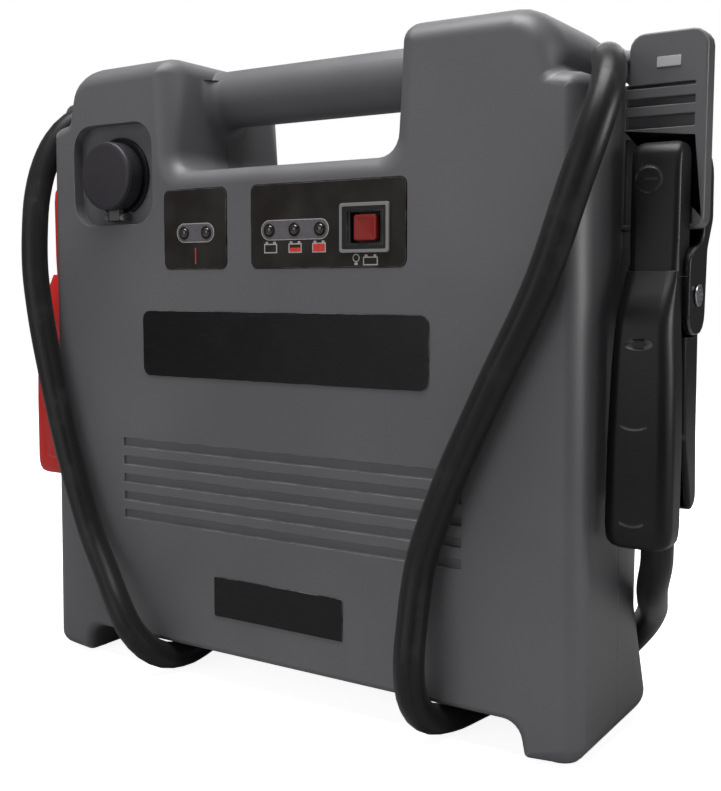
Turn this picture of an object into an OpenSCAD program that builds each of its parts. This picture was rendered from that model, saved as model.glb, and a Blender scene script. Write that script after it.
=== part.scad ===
// Jump starter pack: a two-shell case round a sealed 12 V battery, with a status panel,
// a 12 V outlet, and two clamps on thick cables that wrap round the case.
// Millimetres. +Z is up, +Y is the back, +X is the right side seen from the front.
// The origin lies on the floor, midway across the case, on the plane where the shells meet.

/* [Case] */
// Width of the case at its feet
case_w = 337; // [320:1:360]
// Width of the case at the cable ledges
ledge_w = 328.4; // [316:0.2:350]
// Height from the floor to the top of the shoulders
case_h = 343; // [330:1:360]
// Depth of the front shell
front_d = 49; // [46:1:60]
// Depth of the rear shell
rear_d = 55; // [52:1:66]
// Wall thickness of both shells
wall = 3; // [2.4:0.1:4]
// Height of the gap under the case that the cables pass through
gap_h = 18; // [17.5:0.5:24]
// Width of the gap between the feet
gap_w = 276; // [240:1:284]
// How far the ledges that the cables lie on are below the top
ledge_drop = 30.5; // [27:0.5:36]
// Width across both shoulders above the ledges
shoulder_w = 300; // [292:1:304]

/* [Handle] */
// Clear width between the shoulders
notch_w = 140; // [120:1:150]
// How far the case under the handle is below the top
notch_drop = 62; // [57:1:67]
// Diameter of the handle
handle_d = 31.4; // [28:0.2:34]
// How far the handle's centre is below the top
handle_drop = 18.7; // [17:0.1:25]

/* [Vents] */
// Number of vent grooves
vent_n = 5; // [3:1:6]
// Length of a vent groove
vent_l = 217; // [150:1:230]
// Height of a vent groove
vent_h = 5; // [3:0.5:6]
// Distance from one vent groove to the next
vent_pitch = 10.3; // [8:0.1:10.5]
// Depth of a vent groove
vent_d = 1.8; // [1:0.1:2.2]
// Height of the middle vent groove
vent_z = 110; // [100:1:120]

/* [Panels] */
// Width of the charging panel
charge_w = 44; // [40:0.5:48]
// Width of the battery panel
status_w = 93; // [90:0.5:96]
// Height of both panels
panel_h = 42.5; // [38:0.5:44]
// How far the panels' centre is below the case under the handle
panel_drop = 31.7; // [29:0.1:35]
// Thickness of a panel plate
panel_t = 1.2; // [0.8:0.1:1.6]
// Width of the large front plate
plate_w = 182; // [150:1:190]
// Height of the large front plate
plate_h = 36; // [30:1:40]
// Width of the small lower plate
badge_w = 84; // [70:1:90]
// Height of the small lower plate
badge_h = 22; // [16:1:26]
// Diameter of an indicator lamp
led_d = 5.4; // [3:0.1:6]
// Width of the switch frame
switch_w = 28; // [24:0.5:30]
// Height of the switch frame
switch_h = 23.6; // [20:0.2:26]
// Side of the square push button
button_w = 12.8; // [10:0.2:15]
// Travel of the push button
button_travel = 2; // [1:0.5:2.5]

/* [Outlet] */
// Bore of the 12 V outlet
socket_d = 21.2; // [20.9:0.1:21.6]
// Depth of the outlet's barrel behind its flange
socket_l = 48; // [40:1:60]
// Diameter of the outlet's flange
flange_d = 44; // [40:1:48]
// Diameter of the outlet's cap
cap_d = 37.8; // [34:0.2:40]
// How far the cap stands out of the front
cap_proud = 6; // [4:0.5:8]

/* [Battery] */
// Width of the battery
battery_w = 181; // [151:1:184]
// Depth of the battery
battery_d = 77; // [65:1:78]
// Height of the battery's box
battery_h = 167; // [94:1:167]

/* [Cables] */
// Outer diameter of a clamp cable
cable_d = 15; // [12:0.5:15]
// Diameter of the leads inside the case
lead_d = 11; // [8:0.5:12]
// Length of a cable's boot
boot_l = 25; // [20:1:30]

/* [Clamps] */
// Thickness of an ear that a clamp is parked on
ear_t = 11; // [9:0.5:12]
// How far an ear stands out of the case
ear_reach = 34.5; // [32:0.5:37.5]
// Thickness of the web left in an ear between its ribbed recesses
ear_web = 5; // [4:0.5:6]
// How far a clamp's pivot is below its ear
pivot_drop = 30; // [27:1:33]
// Width of a clamp's front half at its jaw
jaw_w = 22.4; // [20:0.2:24]
// Width of a clamp's front grip
grip_w = 31; // [28:0.5:33]
// Width of a clamp's rear grip
rear_grip_w = 22; // [18:0.5:23]
// Diameter of a clamp's pivot pin
pin_d = 6; // [5:0.5:8]
// Wall thickness of a clamp half
clamp_wall = 2.8; // [2:0.1:3]
// Clearance between a grip and the side of the case
clamp_gap = 2; // [1:0.5:3]

/* [Hidden] */
fit_gap = 0.3;
run_gap = 0.05;
over = 1;
arc_n = 6;
arc_min = 2;
edge_n = 6;
pad_h = 1.5;
shoulder_r = 10;
flare_r = 8;
case_x = case_w / 2;
ledge_x = ledge_w / 2;
shoulder_x = shoulder_w / 2;
notch_x = notch_w / 2;
side_x = max(case_x, ledge_x);
ledge_z = case_h - ledge_drop;
notch_z = case_h - notch_drop;
handle_z = case_h - handle_drop;
front_y = -front_d;
rear_y = rear_d;
bore_fn = 48;

// Corners of the case's right half, going up its outside:
// [x, z, fillet, front edge inset, front edge depth, rear edge inset, rear edge depth]
CASE_HALF = [
    [gap_w / 2, gap_h, 10, 4, 6, 4, 8],
    [gap_w / 2 + 2.5, pad_h, 3, 5, 7, 5, 9],
    [case_x, pad_h, 10, 9, 11, 11, 20],
    [case_x - 0.4, 60, 40, 10, 12, 26, 46],
    [ledge_x, ledge_z, 8, 9, 18, 14, 34],
    [shoulder_x, ledge_z, 4, 6, 14, 8, 20],
    [shoulder_x - 0.7, case_h, 22, 13, 20, 16, 30],
    [notch_x, case_h, shoulder_r, 12, 18, 12, 22],
    [notch_x, notch_z, 12, 9, 10, 9, 12]
];
CASE = concat(CASE_HALF, [for (i = [len(CASE_HALF) - 1:-1:0]) mirrored(CASE_HALF[i])]);
CAVITY_STEPS = 3;

// Status panel
panel_z = notch_z - panel_drop;
charge_x = -52.5;
status_x = 32;
button_x = 56;
button_z = panel_z - 2.1;
led_z = panel_z - 2;
CHARGE_LEDS = [charge_x - 7, charge_x + 8.4];
STATUS_LEDS = [for (i = [-1:1]) status_x - 18.5 + i * 15.65];
led_l = 6.5;
board_margin = 9;
board_t = 1.6;
plate_z = panel_z - 61.7;
badge_z = 51;
recess_d = 0.8;
plate_t = 0.6;
bezel_proud = 1.2;
switch_body_w = 20;
switch_body_h = 16;
switch_body_d = 22;
switch_wall = 1.4;
stem_w = 8;
stem_l = 14;
well_d = 4;
button_proud = 0.4;

// 12 V outlet
outlet_x = 51.3 - ledge_x;
outlet_z = case_h - 62;
pocket_w = 60;
pocket_h = 55.6;
pocket_d = 7;
cap_z = outlet_z - 1;
flange_t = 1.5;
flange_y = front_y + pocket_d;
cap_back = flange_y - flange_t - fit_gap;
barrel_wall = 2.2;
barrel_floor = 3;
contact_d = 11;
contact_hole_d = 6;
plug_d = 19;
plug_l = 2.5;
hinge_y = front_y + 2.5;
hinge_z = cap_z - 22.6;
hinge_pin_d = 1.6;
knuckle_d = 4;
knuckle_w = 8;
lug_w = 3;

// Fasteners and inner parts
mid_screw_z = notch_z - 19;
SCREWS = [[98, 32], [-98, 32], [146, 185], [-146, 185], [112, case_h - 27], [-112, case_h - 27],
    [100, case_h - 85], [-22.5, mid_screw_z]];
screw_d = 4;
screw_head_d = 7.6;
screw_head_h = 3;
boss_d = 10;
boss_wall_y = 14;
boss_seat_y = -16;
terminal_x = 75;
terminal_y = 24;
floor_z = gap_h + wall;
battery_y = 3;
battery_top = floor_z + fit_gap + battery_h;
recess_h = 6;
terminal_h = 6;
lug_x = 91.5;
lug_y = terminal_y + 5;
lug_l = 12;
lug_t = 2;
lug_clear = 11.7;
pad_w = 140;
pad_h0 = 42;
pad_h1 = 142;
module_w = 90;
module_under = 10;
module_over = 6.7;
module_x = 5;
module_y = 14;
fin_n = 6;
fin_w = 8;
fin_d = 8;
FUSE = [42, 18, 11.7];
FUSE_TOP = [26, 12, 6];
fuse_x = 41;
fuse_y = -21;
inlet_x = 100;
inlet_w = 40;
inlet_h = 30;
inlet_lip = 4;
inlet_wall = 2.5;
inlet_d = 30;
inlet_floor = 5;
inlet_pitch = 12.7;

// Cable outlets in the back of the case
outlet_gap_x = 118;
bay_w = 26;
bay_z0 = 58;
bay_z1 = 122;
bay_slope = 32;
bay_d = 24;
gland_y = rear_y - 11;
gland_d = 18;
gland_flange_d = 21;
gland_flange_t = 3;

// Clamps
clamp_x = side_x + clamp_gap + grip_w / 2;
ear_x = side_x + ear_reach;
ear_z0 = ledge_z - 67.5;
ear_z1 = ledge_z + 20.5;
rib_z0 = ear_z0 + 2;
rib_z1 = ledge_z - 2.5;
rib_x0 = ledge_x + 1.8;
rib_x1 = ear_x - 5.4;
rib_h = 4.5;
rib_proud = 1.2;
RIB_DROPS = [24, 14, 6];
ear_lip = 4;
ear_root = 8;
ear_head = 17;
pivot_y = 2.5;
pivot_z = ear_z0 - pivot_drop;
cheek_gap = fit_gap;
jaw_z0 = ear_z0 + 5;
jaw_z1 = jaw_z0 + 24;
plate_jaw_w = 13;
tooth_n = 8;
tooth_d = 1.6;
wire_d = 2;
spring_n = 5;
spring_w = 11;
spring_r = pin_d / 2 + fit_gap + wire_d / 2;
spring_leg = [-27.5, pivot_z - 25];
crimp_y = -21;
crimp_z = pivot_z - 47;
crimp_d = 16.5;
crimp_h = 22;
crimp_tab = 6.5;

// Right cable from its boot to its clamp; the left one is its mirror image but for its front stretch
REAR_RUN = [
    [118, 44, 83], [118, 44, 95], [118.5, 48, 112], [120, 56.5, 130], [123.5, 63.3, 148], [131, 65, 172],
    [147, 64.5, 235], [154, 63.8, 270], [158.5, 63, 290], [160, 59, 306.5], [160, 49.5, 317],
    [159, 34, 323.5], [158.2, 12, 322]
];
RIGHT_FRONT = [
    [160, -6, 321.5], [164.5, -20, 319.3], [170.5, -34, 312.5], [173.5, -46, 300.5], [171.5, -54, 284],
    [165, -57.5, 262], [151, -57.7, 222], [126, -57.7, 171], [103, -57.8, 121], [92, -58.5, 88],
    [90.5, -63, 62], [91, -66.8, 40], [91.3, -64.7, 27.5], [91.6, -58.3, 17.5], [93, -48.7, 11],
    [96, -37, 8.6]
];
LEFT_FRONT = [
    [160, -6, 321.5], [163.8, -16.5, 320.4], [169, -26, 315.2], [173, -34.5, 305], [174.9, -42, 291],
    [174.7, -48.5, 273], [172.5, -53.3, 251], [169.4, -56.5, 228], [165, -57.7, 205],
    [155.8, -57.7, 165], [141, -57.8, 115], [124, -59, 74], [109.5, -62.5, 55],
    [97.5, -66, 40.5], [89, -65.5, 28], [83.5, -59.5, 17.8], [80, -49.5, 11], [78, -37, 8.6]
];
RIGHT_UNDER = [[101, -12, 8.5], [106, 14, 8.5], [117, 40, 8.6]];
LEFT_UNDER = [[80, -18, 8.5], [88, 4, 8.5], [101, 25, 8.5], [116, 43, 8.6]];
CLAMP_RUN = [
    [130, 58, 11], [144, 67.5, 21], [157.5, 65.5, 36.5], [167.5, 52, 51], [174.5, 31, 63], [181, 10, 76],
    [188, -6, 94], [190, -14, 112], [188, -19.5, 142], [186.5, -21, 158], [186.5, -21, 168]
];
RIGHT_ROUTE = concat(REAR_RUN, RIGHT_FRONT, RIGHT_UNDER, CLAMP_RUN);
LEFT_ROUTE = concat(REAR_RUN, LEFT_FRONT, LEFT_UNDER, CLAMP_RUN);
LEAD_ROUTE = [
    [118, 44, 55], [118, 44, 48], [118, 39.5, 35.5], [117.8, 28.8, 27.8], [117.5, 15.2, 27.8],
    [117.3, 4.5, 35.5],
    [117.5, 0, 48], [121, 0, 90], [126, 4, 130], [129.5, 12, 158], [126.5, 22, 178], [117, 28, 187.5],
    [108, 29, 189.3], [103.5, 29, 189.3]
];
lead_top = max([for (p = LEAD_ROUTE) p[2]]) + lead_d / 2;
inlet_z = max(battery_top + lug_clear, lead_top + 5) + inlet_h / 2;

// ---- Outline and surface functions ----

function mirrored(v) = [for (k = [0:len(v) - 1]) k == 0 ? -v[k] : v[k]];
function unit(v) = v / norm(v);
function left_of(v) = [-v[1], v[0]];
function flat(list) = [for (part = list, p = part) p];
function xy(v) = [v[0], v[1]];

// Mean direction in which corner i moves when both its edges move inwards by one
function mitre(v, i) =
    let (n = len(v),
         into = left_of(unit(xy(v[i]) - xy(v[(i + n - 1) % n]))),
         out = left_of(unit(xy(v[(i + 1) % n]) - xy(v[i]))))
    (into + out) / (1 + into * out);

// Corners moved inwards, each by its own distance, with inner corners opening a little
function inset(v, by) = [for (i = [0:len(v) - 1])
    let (p = xy(v[i]) + by[i] * mitre(v, i))
    [p[0], p[1], turns_left(v, i) ? max(v[i][2] - by[i], 0.5) : v[i][2] + by[i] / 4]];

function turns_left(v, i) =
    let (n = len(v), a = xy(v[i]) - xy(v[(i + n - 1) % n]), b = xy(v[(i + 1) % n]) - xy(v[i]))
    a[0] * b[1] - a[1] * b[0] > 0;

// Each corner becomes a circular arc of steps + 1 points, spread out even where it hardly turns
function rounded(v, steps) = flat([for (i = [0:len(v) - 1])
    let (n = len(v),
         into = unit(xy(v[i]) - xy(v[(i + n - 1) % n])),
         out = unit(xy(v[(i + 1) % n]) - xy(v[i])),
         half = acos(max(-1, min(1, into * out))) / 2,
         back = max(v[i][2] * tan(half), min(v[i][2], arc_min)))
    [for (k = [0:steps])
        let (t = k / steps, w0 = (1 - t) * (1 - t), w1 = 2 * t * (1 - t) * cos(half), w2 = t * t)
        xy(v[i]) + back * (w2 * out - w0 * into) / (w0 + w1 + w2)]]);

function level(points, w) = [for (p = points) [p[0], p[1], w]];

// Closed surface through rings of equal length, lowest first, each counter-clockwise from above
module loft(rings) {
    n = len(rings[0]);
    m = len(rings);
    faces = concat(
        [[for (i = [0:n - 1]) i]],
        [for (r = [0:m - 2], i = [0:n - 1]) [r * n + i, (r + 1) * n + i, (r + 1) * n + (i + 1) % n]],
        [for (r = [0:m - 2], i = [0:n - 1])
            [r * n + i, (r + 1) * n + (i + 1) % n, r * n + (i + 1) % n]],
        [[for (i = [n - 1:-1:0]) (m - 1) * n + i]]
    );
    polyhedron(points = flat(rings), faces = faces);
}

// Outline with rounded corners, extruded from w0 to w1, with both its rims rounded by edge
module pillow(v, w0, w1, edge, steps = 4) {
    rims = [for (k = [0:steps]) let (a = 90 * k / steps) [edge * (1 - cos(a)), edge * (1 - sin(a))]];
    outlines = [for (rim = rims) rounded(inset(v, [for (c = v) rim[0]]), steps)];
    between(w0, w1) loft(concat(
        [level(outlines[steps], w0 - over)],
        [for (k = [steps:-1:0]) level(outlines[k], w0 + rims[k][1])],
        [for (k = [0:steps]) level(outlines[k], w1 - rims[k][1])],
        [level(outlines[steps], w1 + over)]));
}

// Keeps what lies from height w0 to w1, cut off flat
module between(w0, w1) intersection() {
    children();
    box([-2 * ear_x, -case_h, w0], [2 * ear_x, 2 * case_h, w1]);
}

// Stands a shape drawn in the case's front view up, with its depth towards the front
module upright() rotate([90, 0, 0]) children();
// Stands a shape drawn in the side view (y, z) up, with its depth along x
module sideways() rotate([90, 0, 90]) children();
module both_sides() {
    children();
    mirror([1, 0, 0]) children();
}
module side_of(right) mirror([right ? 0 : 1, 0, 0]) children();
// Round bar along y from y0 to y1
module bar_y(x, z, y0, y1, d, fn = bore_fn)
    translate([x, y0, z]) rotate([-90, 0, 0]) cylinder(d = d, h = y1 - y0, $fn = fn);
// Round bar along x from x0 to x1
module bar_x(y, z, x0, x1, d, fn = bore_fn)
    translate([x0, y, z]) rotate([0, 90, 0]) cylinder(d = d, h = x1 - x0, $fn = fn);
module box(lo, hi) translate(lo) cube(hi - lo);
// Upright plate with rounded corners, its front at y0 and its back at y1
module plate(x, z, w, h, r, y0, y1)
    translate([x, y1, z]) upright() linear_extrude(y1 - y0)
        hull() for (i = [-1, 1], j = [-1, 1])
            translate([i * (w / 2 - r), j * (h / 2 - r)]) circle(r = r, $fn = 32);

// ---- Case ----

// One shell's outer or inner surface: columns 3 and 4 of CASE shape the front edge, 5 and 6 the rear
function shell_ring(t, off, col) = [for (c = CASE) off + c[col] * (1 - cos(t))];
function shell_points(t, off, depth, col, steps) =
    let (corners = inset(CASE, shell_ring(t, off, col)),
         outline = rounded(corners, steps),
         drops = flat([for (c = CASE) [for (k = [0:steps]) max(c[col + 1] - off, 1)]]))
    [for (i = [0:len(outline) - 1])
        [outline[i][0], outline[i][1], depth - drops[i] * (1 - sin(t))]];

module front_skin(off, depth, steps, rims, from = 0) between(from, depth) loft(concat(
    [level(rounded(inset(CASE, shell_ring(0, off, 3)), steps), from - over)],
    [for (k = [0:rims]) shell_points(90 * k / rims, off, depth, 3, steps)],
    [level(rounded(inset(CASE, shell_ring(90, off, 3)), steps), depth + over)]));

module rear_skin(off, depth, steps, rims, from = 0) between(-depth, -from) loft(concat(
    [level(rounded(inset(CASE, shell_ring(90, off, 5)), steps), -depth - over)],
    [for (k = [rims:-1:0]) [for (p = shell_points(90 * k / rims, off, depth, 5, steps)) [p[0], p[1], -p[2]]]],
    [level(rounded(inset(CASE, shell_ring(0, off, 5)), steps), over - from)]));

// Fillet where the handle meets the flat inner wall of a shoulder
module handle_flare() translate([notch_x, 0, handle_z]) rotate([0, 90, 0]) rotate_extrude($fn = bore_fn)
    polygon(concat([[0, -flare_r]], [for (a = [0:22.5:90])
        [handle_d / 2 + flare_r * (1 - cos(a)), flare_r * (sin(a) - 1)]],
        [[handle_d / 2 + flare_r, wall / 2], [0, wall / 2]]));

// Half of the handle, on one side of the parting plane
module handle_half(y0, y1) difference() {
    union() {
        intersection() {
            bar_x(0, handle_z, -notch_x - wall, notch_x + wall, handle_d);
            box([-notch_x - wall, y0, notch_z], [notch_x + wall, y1, case_h]);
        }
        intersection() {
            both_sides() handle_flare();
            box([-notch_x - wall, y0, notch_z], [notch_x + wall, y1, case_h - shoulder_r]);
        }
    }
    bar_x(0, handle_z, -notch_x - wall - over, notch_x + wall + over, handle_d - 2 * wall);
}

module screw_holes(d, y0, y1) for (s = SCREWS) bar_y(s[0], s[1], y0, y1, d, 24);

module front_shell() color([0.33, 0.33, 0.345]) difference() {
    union() {
        upright() difference() {
            front_skin(0, front_d, arc_n, edge_n);
            front_skin(wall, front_d - wall, arc_n / 2, CAVITY_STEPS, -over);
        }
        handle_half(-handle_d, 0);
        screw_holes(boss_d, front_y + wall - 0.5, 0);
        socket_boss();
    }
    screw_holes(screw_d, boss_seat_y, over);
    for (i = [0:vent_n - 1]) translate([0, 0, vent_z + (i - (vent_n - 1) / 2) * vent_pitch])
        box([-vent_l / 2, front_y - over, -vent_h / 2], [vent_l / 2, front_y + vent_d, vent_h / 2]);
    plate(charge_x, panel_z, charge_w, panel_h, 4, front_y - over, front_y + recess_d);
    plate(status_x, panel_z, status_w, panel_h, 4, front_y - over, front_y + recess_d);
    for (x = concat(CHARGE_LEDS, STATUS_LEDS))
        bar_y(x, led_z, front_y, front_y + wall + over, led_d + 2 * fit_gap, 24);
    switch_hole(front_y, front_y + wall + over);
    plate(outlet_x, outlet_z, pocket_w, pocket_h, 13, front_y - over, front_y + pocket_d);
    bar_y(outlet_x, cap_z, front_y, 0, socket_d + 2 * barrel_wall + 2 * fit_gap);
}

// Wall round the recessed outlet, inside the front shell
module socket_boss() intersection() {
    plate(outlet_x, outlet_z, pocket_w + 2 * wall, pocket_h + 2 * wall, 15, front_y + wall - 0.5,
        front_y + pocket_d + wall);
    upright() front_skin(wall / 2, front_d - wall / 2, arc_n / 2, CAVITY_STEPS);
}

// Outline of an ear, in the front view
EAR = [[ledge_x - ear_root, ear_z0, 1], [ear_x, ear_z0, 5], [ear_x, ear_z1, 7],
    [shoulder_x + ear_head, ear_z1, 7], [shoulder_x + ear_head, ledge_z - 2, 1],
    [ledge_x - ear_root, ledge_z - 2, 1]];

// Ear whose root passes through a slot in the rear shell, held by the front shell and by a lip inside
module ear(right) color([0.33, 0.33, 0.345]) side_of(right) {
    difference() {
        translate([0, ear_t, 0]) upright() pillow(EAR, 0, ear_t, 1.2);
        for (y = [0, ear_t]) translate([0, y, 0]) rib_recess((ear_t - ear_web) / 2);
    }
    box([ledge_x - ear_root, fit_gap, ear_z0 + ear_lip],
        [ledge_x - wall - 2 * fit_gap, ear_t + ear_lip, ledge_z - 2 - ear_lip]);
}
module ear_slot() box([ledge_x - ear_root - over, -over, ear_z0 - fit_gap],
    [ear_x, ear_t + fit_gap, ledge_z - 2 + fit_gap]);
module ear_right() ear(true);
module ear_left() ear(false);
// Recess on both faces of an ear, with three raised ribs
module rib_recess(depth) difference() {
    box([rib_x0, -depth, rib_z0], [rib_x1, depth, rib_z1]);
    for (drop = RIB_DROPS) translate([0, 0, rib_z1 - drop])
        box([rib_x0 - over, -depth + rib_proud, 0], [rib_x1 + over, depth - rib_proud, rib_h]);
}

// Space in the back of the case for one cable's boot, sloping out at its top
module cable_bay(grow) sideways() translate([0, 0, outlet_gap_x - bay_w / 2 - grow])
    linear_extrude(bay_w + 2 * grow) polygon([
        [rear_y - bay_d - grow, bay_z0 - grow], [rear_y + over, bay_z0 - grow],
        [rear_y + over, bay_z1 + bay_slope + grow], [rear_y - bay_d - grow, bay_z1 - 22 + grow]]);

module rear_shell() color([0.33, 0.33, 0.345]) difference() {
    union() {
        upright() difference() {
            rear_skin(0, rear_d, arc_n, edge_n);
            difference() {
                rear_skin(wall, rear_d - wall, arc_n / 2, CAVITY_STEPS, -over);
                rotate([-90, 0, 0]) both_sides() cable_bay(wall);
            }
        }
        handle_half(0, handle_d);
        screw_holes(boss_d, 0, rear_y - wall + 0.5);
    }
    both_sides() ear_slot();
    both_sides() cable_bay(0);
    both_sides() translate([outlet_gap_x, gland_y, bay_z0 - wall - over])
        cylinder(d = gland_d, h = wall + 2 * over, $fn = bore_fn);
    screw_holes(screw_d + 2 * fit_gap, -over, rear_y + over);
    screw_holes(screw_head_d + 2 * fit_gap, boss_wall_y, rear_y + over);
    plate(inlet_x, inlet_z, inlet_w + 2 * fit_gap, inlet_h + 2 * fit_gap, 4, rear_y - 2, rear_y + over);
    plate(inlet_x, inlet_z, inlet_w - 2 * inlet_lip, inlet_h - 2 * inlet_lip, 3,
        rear_y - wall - over, rear_y + over);
}

module case_screws() color([0.25, 0.25, 0.26]) for (s = SCREWS) difference() {
    union() {
        bar_y(s[0], s[1], boss_seat_y + over, boss_wall_y, screw_d - 2 * run_gap, 24);
        bar_y(s[0], s[1], boss_wall_y, boss_wall_y + screw_head_h, screw_head_d, 24);
    }
    for (a = [0, 90]) translate([s[0], boss_wall_y + screw_head_h + over - 1.25, s[1]]) rotate([0, a, 0])
        cube([1, 2.5, 5], center = true);
}

module foot_pads() color([0.12, 0.12, 0.12]) both_sides() for (y = [front_y + 18, rear_y - 32])
    translate([case_x - 15, y, 0]) cylinder(d = 16, h = pad_h, $fn = 32);

// ---- Front panel ----

module panel_plate(x, w, lamps) difference() {
    plate(x, panel_z, w - 2 * fit_gap, panel_h - 2 * fit_gap, 3.7,
        front_y - panel_t + recess_d, front_y + recess_d);
    for (i = lamps) bar_y(i, led_z, front_y - panel_t, front_y + over, led_d + 2 * fit_gap, 24);
}
module charging_panel() color([0.17, 0.16, 0.17]) panel_plate(charge_x, charge_w, CHARGE_LEDS);
module battery_panel() color([0.17, 0.15, 0.12]) difference() {
    panel_plate(status_x, status_w, STATUS_LEDS);
    switch_hole(front_y - panel_t, front_y + over);
}
module switch_hole(y0, y1) about_switch(switch_body_w + 1, switch_body_h + 1, y0, y1);
// Block w by h about the switch's middle, from y0 to y1
module about_switch(w, h, y0, y1)
    box([button_x - w / 2, y0, button_z - h / 2], [button_x + w / 2, y1, button_z + h / 2]);

module lamps(places) for (x = places) {
    bar_y(x, led_z, front_y - 0.6, front_y + led_l, led_d - 0.2, 24);
    translate([x, front_y - 0.6, led_z]) rotate([90, 0, 0])
        cylinder(d1 = led_d - 0.2, d2 = led_d - 2.6, h = 1.4, $fn = 24);
}
module charging_lamps() color([0.25, 0.22, 0.2]) lamps(CHARGE_LEDS);
module battery_lamps() color([0.25, 0.22, 0.2]) lamps(STATUS_LEDS);
module lamp_board() color([0.1, 0.3, 0.15])
    box([CHARGE_LEDS[0] - board_margin - 1.5, front_y + led_l, led_z - board_margin],
        [STATUS_LEDS[2] + board_margin - 0.1, front_y + led_l + board_t, led_z + board_margin]);

module front_plate() color([0.08, 0.08, 0.08])
    plate(0, plate_z, plate_w, plate_h, 5, front_y - plate_t, front_y);
module lower_plate() color([0.08, 0.08, 0.08])
    plate(0, badge_z, badge_w, badge_h, 1, front_y - plate_t, front_y);
module ear_plates() color([0.62, 0.61, 0.62]) both_sides()
    plate(clamp_x - 0.5, ledge_z + 7, 11, 4.6, 0.6, -0.5, 0);

module switch_bezel() color([0.55, 0.55, 0.56]) difference() {
    plate(button_x - 0.6, button_z, switch_w, switch_h, 1.5,
        front_y - panel_t + recess_d - bezel_proud, front_y - panel_t + recess_d);
    about_switch(switch_body_w, switch_body_h, front_y - 9, front_y + over);
}
module switch_body() color([0.07, 0.07, 0.07]) difference() {
    about_switch(switch_body_w, switch_body_h, front_y - panel_t, front_y + switch_body_d);
    about_switch(switch_body_w - 2 * switch_wall, switch_body_h - switch_wall + 0.2, front_y - panel_t - over,
        front_y + well_d);
    about_switch(stem_w + 2 * fit_gap, stem_w + 2 * fit_gap, front_y, front_y + stem_l);
}
module switch_button() color([0.6, 0.12, 0.1]) {
    plate(button_x, button_z, button_w, button_w - 0.4, 0.8, front_y - panel_t - button_proud,
        front_y + well_d - button_travel - fit_gap);
    about_switch(stem_w, stem_w, front_y + well_d - button_travel - fit_gap,
        front_y + stem_l - button_travel - fit_gap);
}

// ---- 12 V outlet ----

module socket_flange() color([0.12, 0.12, 0.13]) difference() {
    bar_y(outlet_x, cap_z, flange_y - flange_t, flange_y, flange_d);
    bar_y(outlet_x, cap_z, flange_y - flange_t - over, flange_y + over, socket_d);
    hinge_clear();
}
module hinge_clear() box([outlet_x - 9, flange_y - flange_t - over, hinge_z - 6],
    [outlet_x + 9, flange_y + over, hinge_z + 3.4]);

module socket_barrel() color([0.62, 0.62, 0.64]) difference() {
    bar_y(outlet_x, cap_z, flange_y, flange_y + socket_l, socket_d + 2 * barrel_wall);
    bar_y(outlet_x, cap_z, flange_y - over, flange_y + socket_l - barrel_floor, socket_d);
    bar_y(outlet_x, cap_z, flange_y + socket_l - barrel_floor - over, flange_y + socket_l + over,
        contact_hole_d);
}
module socket_contact() color([0.75, 0.6, 0.3]) {
    bar_y(outlet_x, cap_z, flange_y + socket_l - 8, flange_y + socket_l - barrel_floor, contact_d, 32);
    bar_y(outlet_x, cap_z, flange_y + socket_l - barrel_floor, flange_y + socket_l + 8,
        contact_hole_d - 2 * run_gap, 32);
}

module cap_hinge() color([0.33, 0.33, 0.345]) for (s = [-1, 1]) difference() {
    x0 = outlet_x + s * (knuckle_w / 2 + fit_gap + lug_w / 2) - lug_w / 2;
    union() {
        bar_x(hinge_y, hinge_z, x0, x0 + lug_w, knuckle_d, 32);
        box([x0, hinge_y, hinge_z - knuckle_d / 2], [x0 + lug_w, flange_y, hinge_z + knuckle_d / 2]);
    }
    bar_x(hinge_y, hinge_z, x0 - over, x0 + lug_w + over, hinge_pin_d, 24);
}
module cap_hinge_pin() color([0.6, 0.6, 0.6]) {
    half = knuckle_w / 2 + fit_gap + lug_w;
    bar_x(hinge_y, hinge_z, outlet_x - half, outlet_x + half, hinge_pin_d - 2 * run_gap, 24);
}
module socket_cap() color([0.2, 0.2, 0.22]) difference() {
    union() {
        bar_y(outlet_x, cap_z, front_y - cap_proud, cap_back, cap_d, 64);
        bar_y(outlet_x, cap_z, cap_back, flange_y - flange_t + plug_l, plug_d);
        bar_x(hinge_y, hinge_z, outlet_x - knuckle_w / 2, outlet_x + knuckle_w / 2, knuckle_d, 32);
        box([outlet_x - knuckle_w / 2, hinge_y - knuckle_d / 2, hinge_z],
            [outlet_x + knuckle_w / 2, hinge_y + knuckle_d / 2, hinge_z + 7]);
    }
    bar_x(hinge_y, hinge_z, outlet_x - knuckle_w, outlet_x + knuckle_w, hinge_pin_d, 24);
}

// ---- Battery, charger and wiring ----

module battery() color([0.15, 0.15, 0.17]) difference() {
    box([-battery_w / 2, battery_y - battery_d / 2, floor_z + fit_gap],
        [battery_w / 2, battery_y + battery_d / 2, battery_top]);
    both_sides() box([terminal_x - 10, terminal_y - 12, battery_top - recess_h],
        [battery_w / 2 + over, battery_y + battery_d / 2 + over, battery_top + over]);
}
module battery_terminals() color([0.7, 0.7, 0.72]) both_sides() difference() {
    box([terminal_x - 6, terminal_y - 4, battery_top - recess_h],
        [terminal_x + 6, terminal_y + 4, battery_top + terminal_h]);
    bar_y(terminal_x, battery_top + 1, terminal_y - 5, terminal_y + 5, 5.5, 24);
}
module terminal_bolts() color([0.75, 0.72, 0.6]) both_sides() {
    bar_y(terminal_x, battery_top + 1, terminal_y - 4 - fit_gap, terminal_y + 10, 5.5 - 2 * run_gap, 24);
    translate([terminal_x, terminal_y - 8, battery_top + 1]) rotate([-90, 0, 0])
        cylinder(d = 9.8, h = 4 - fit_gap, $fn = 6);
}
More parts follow.
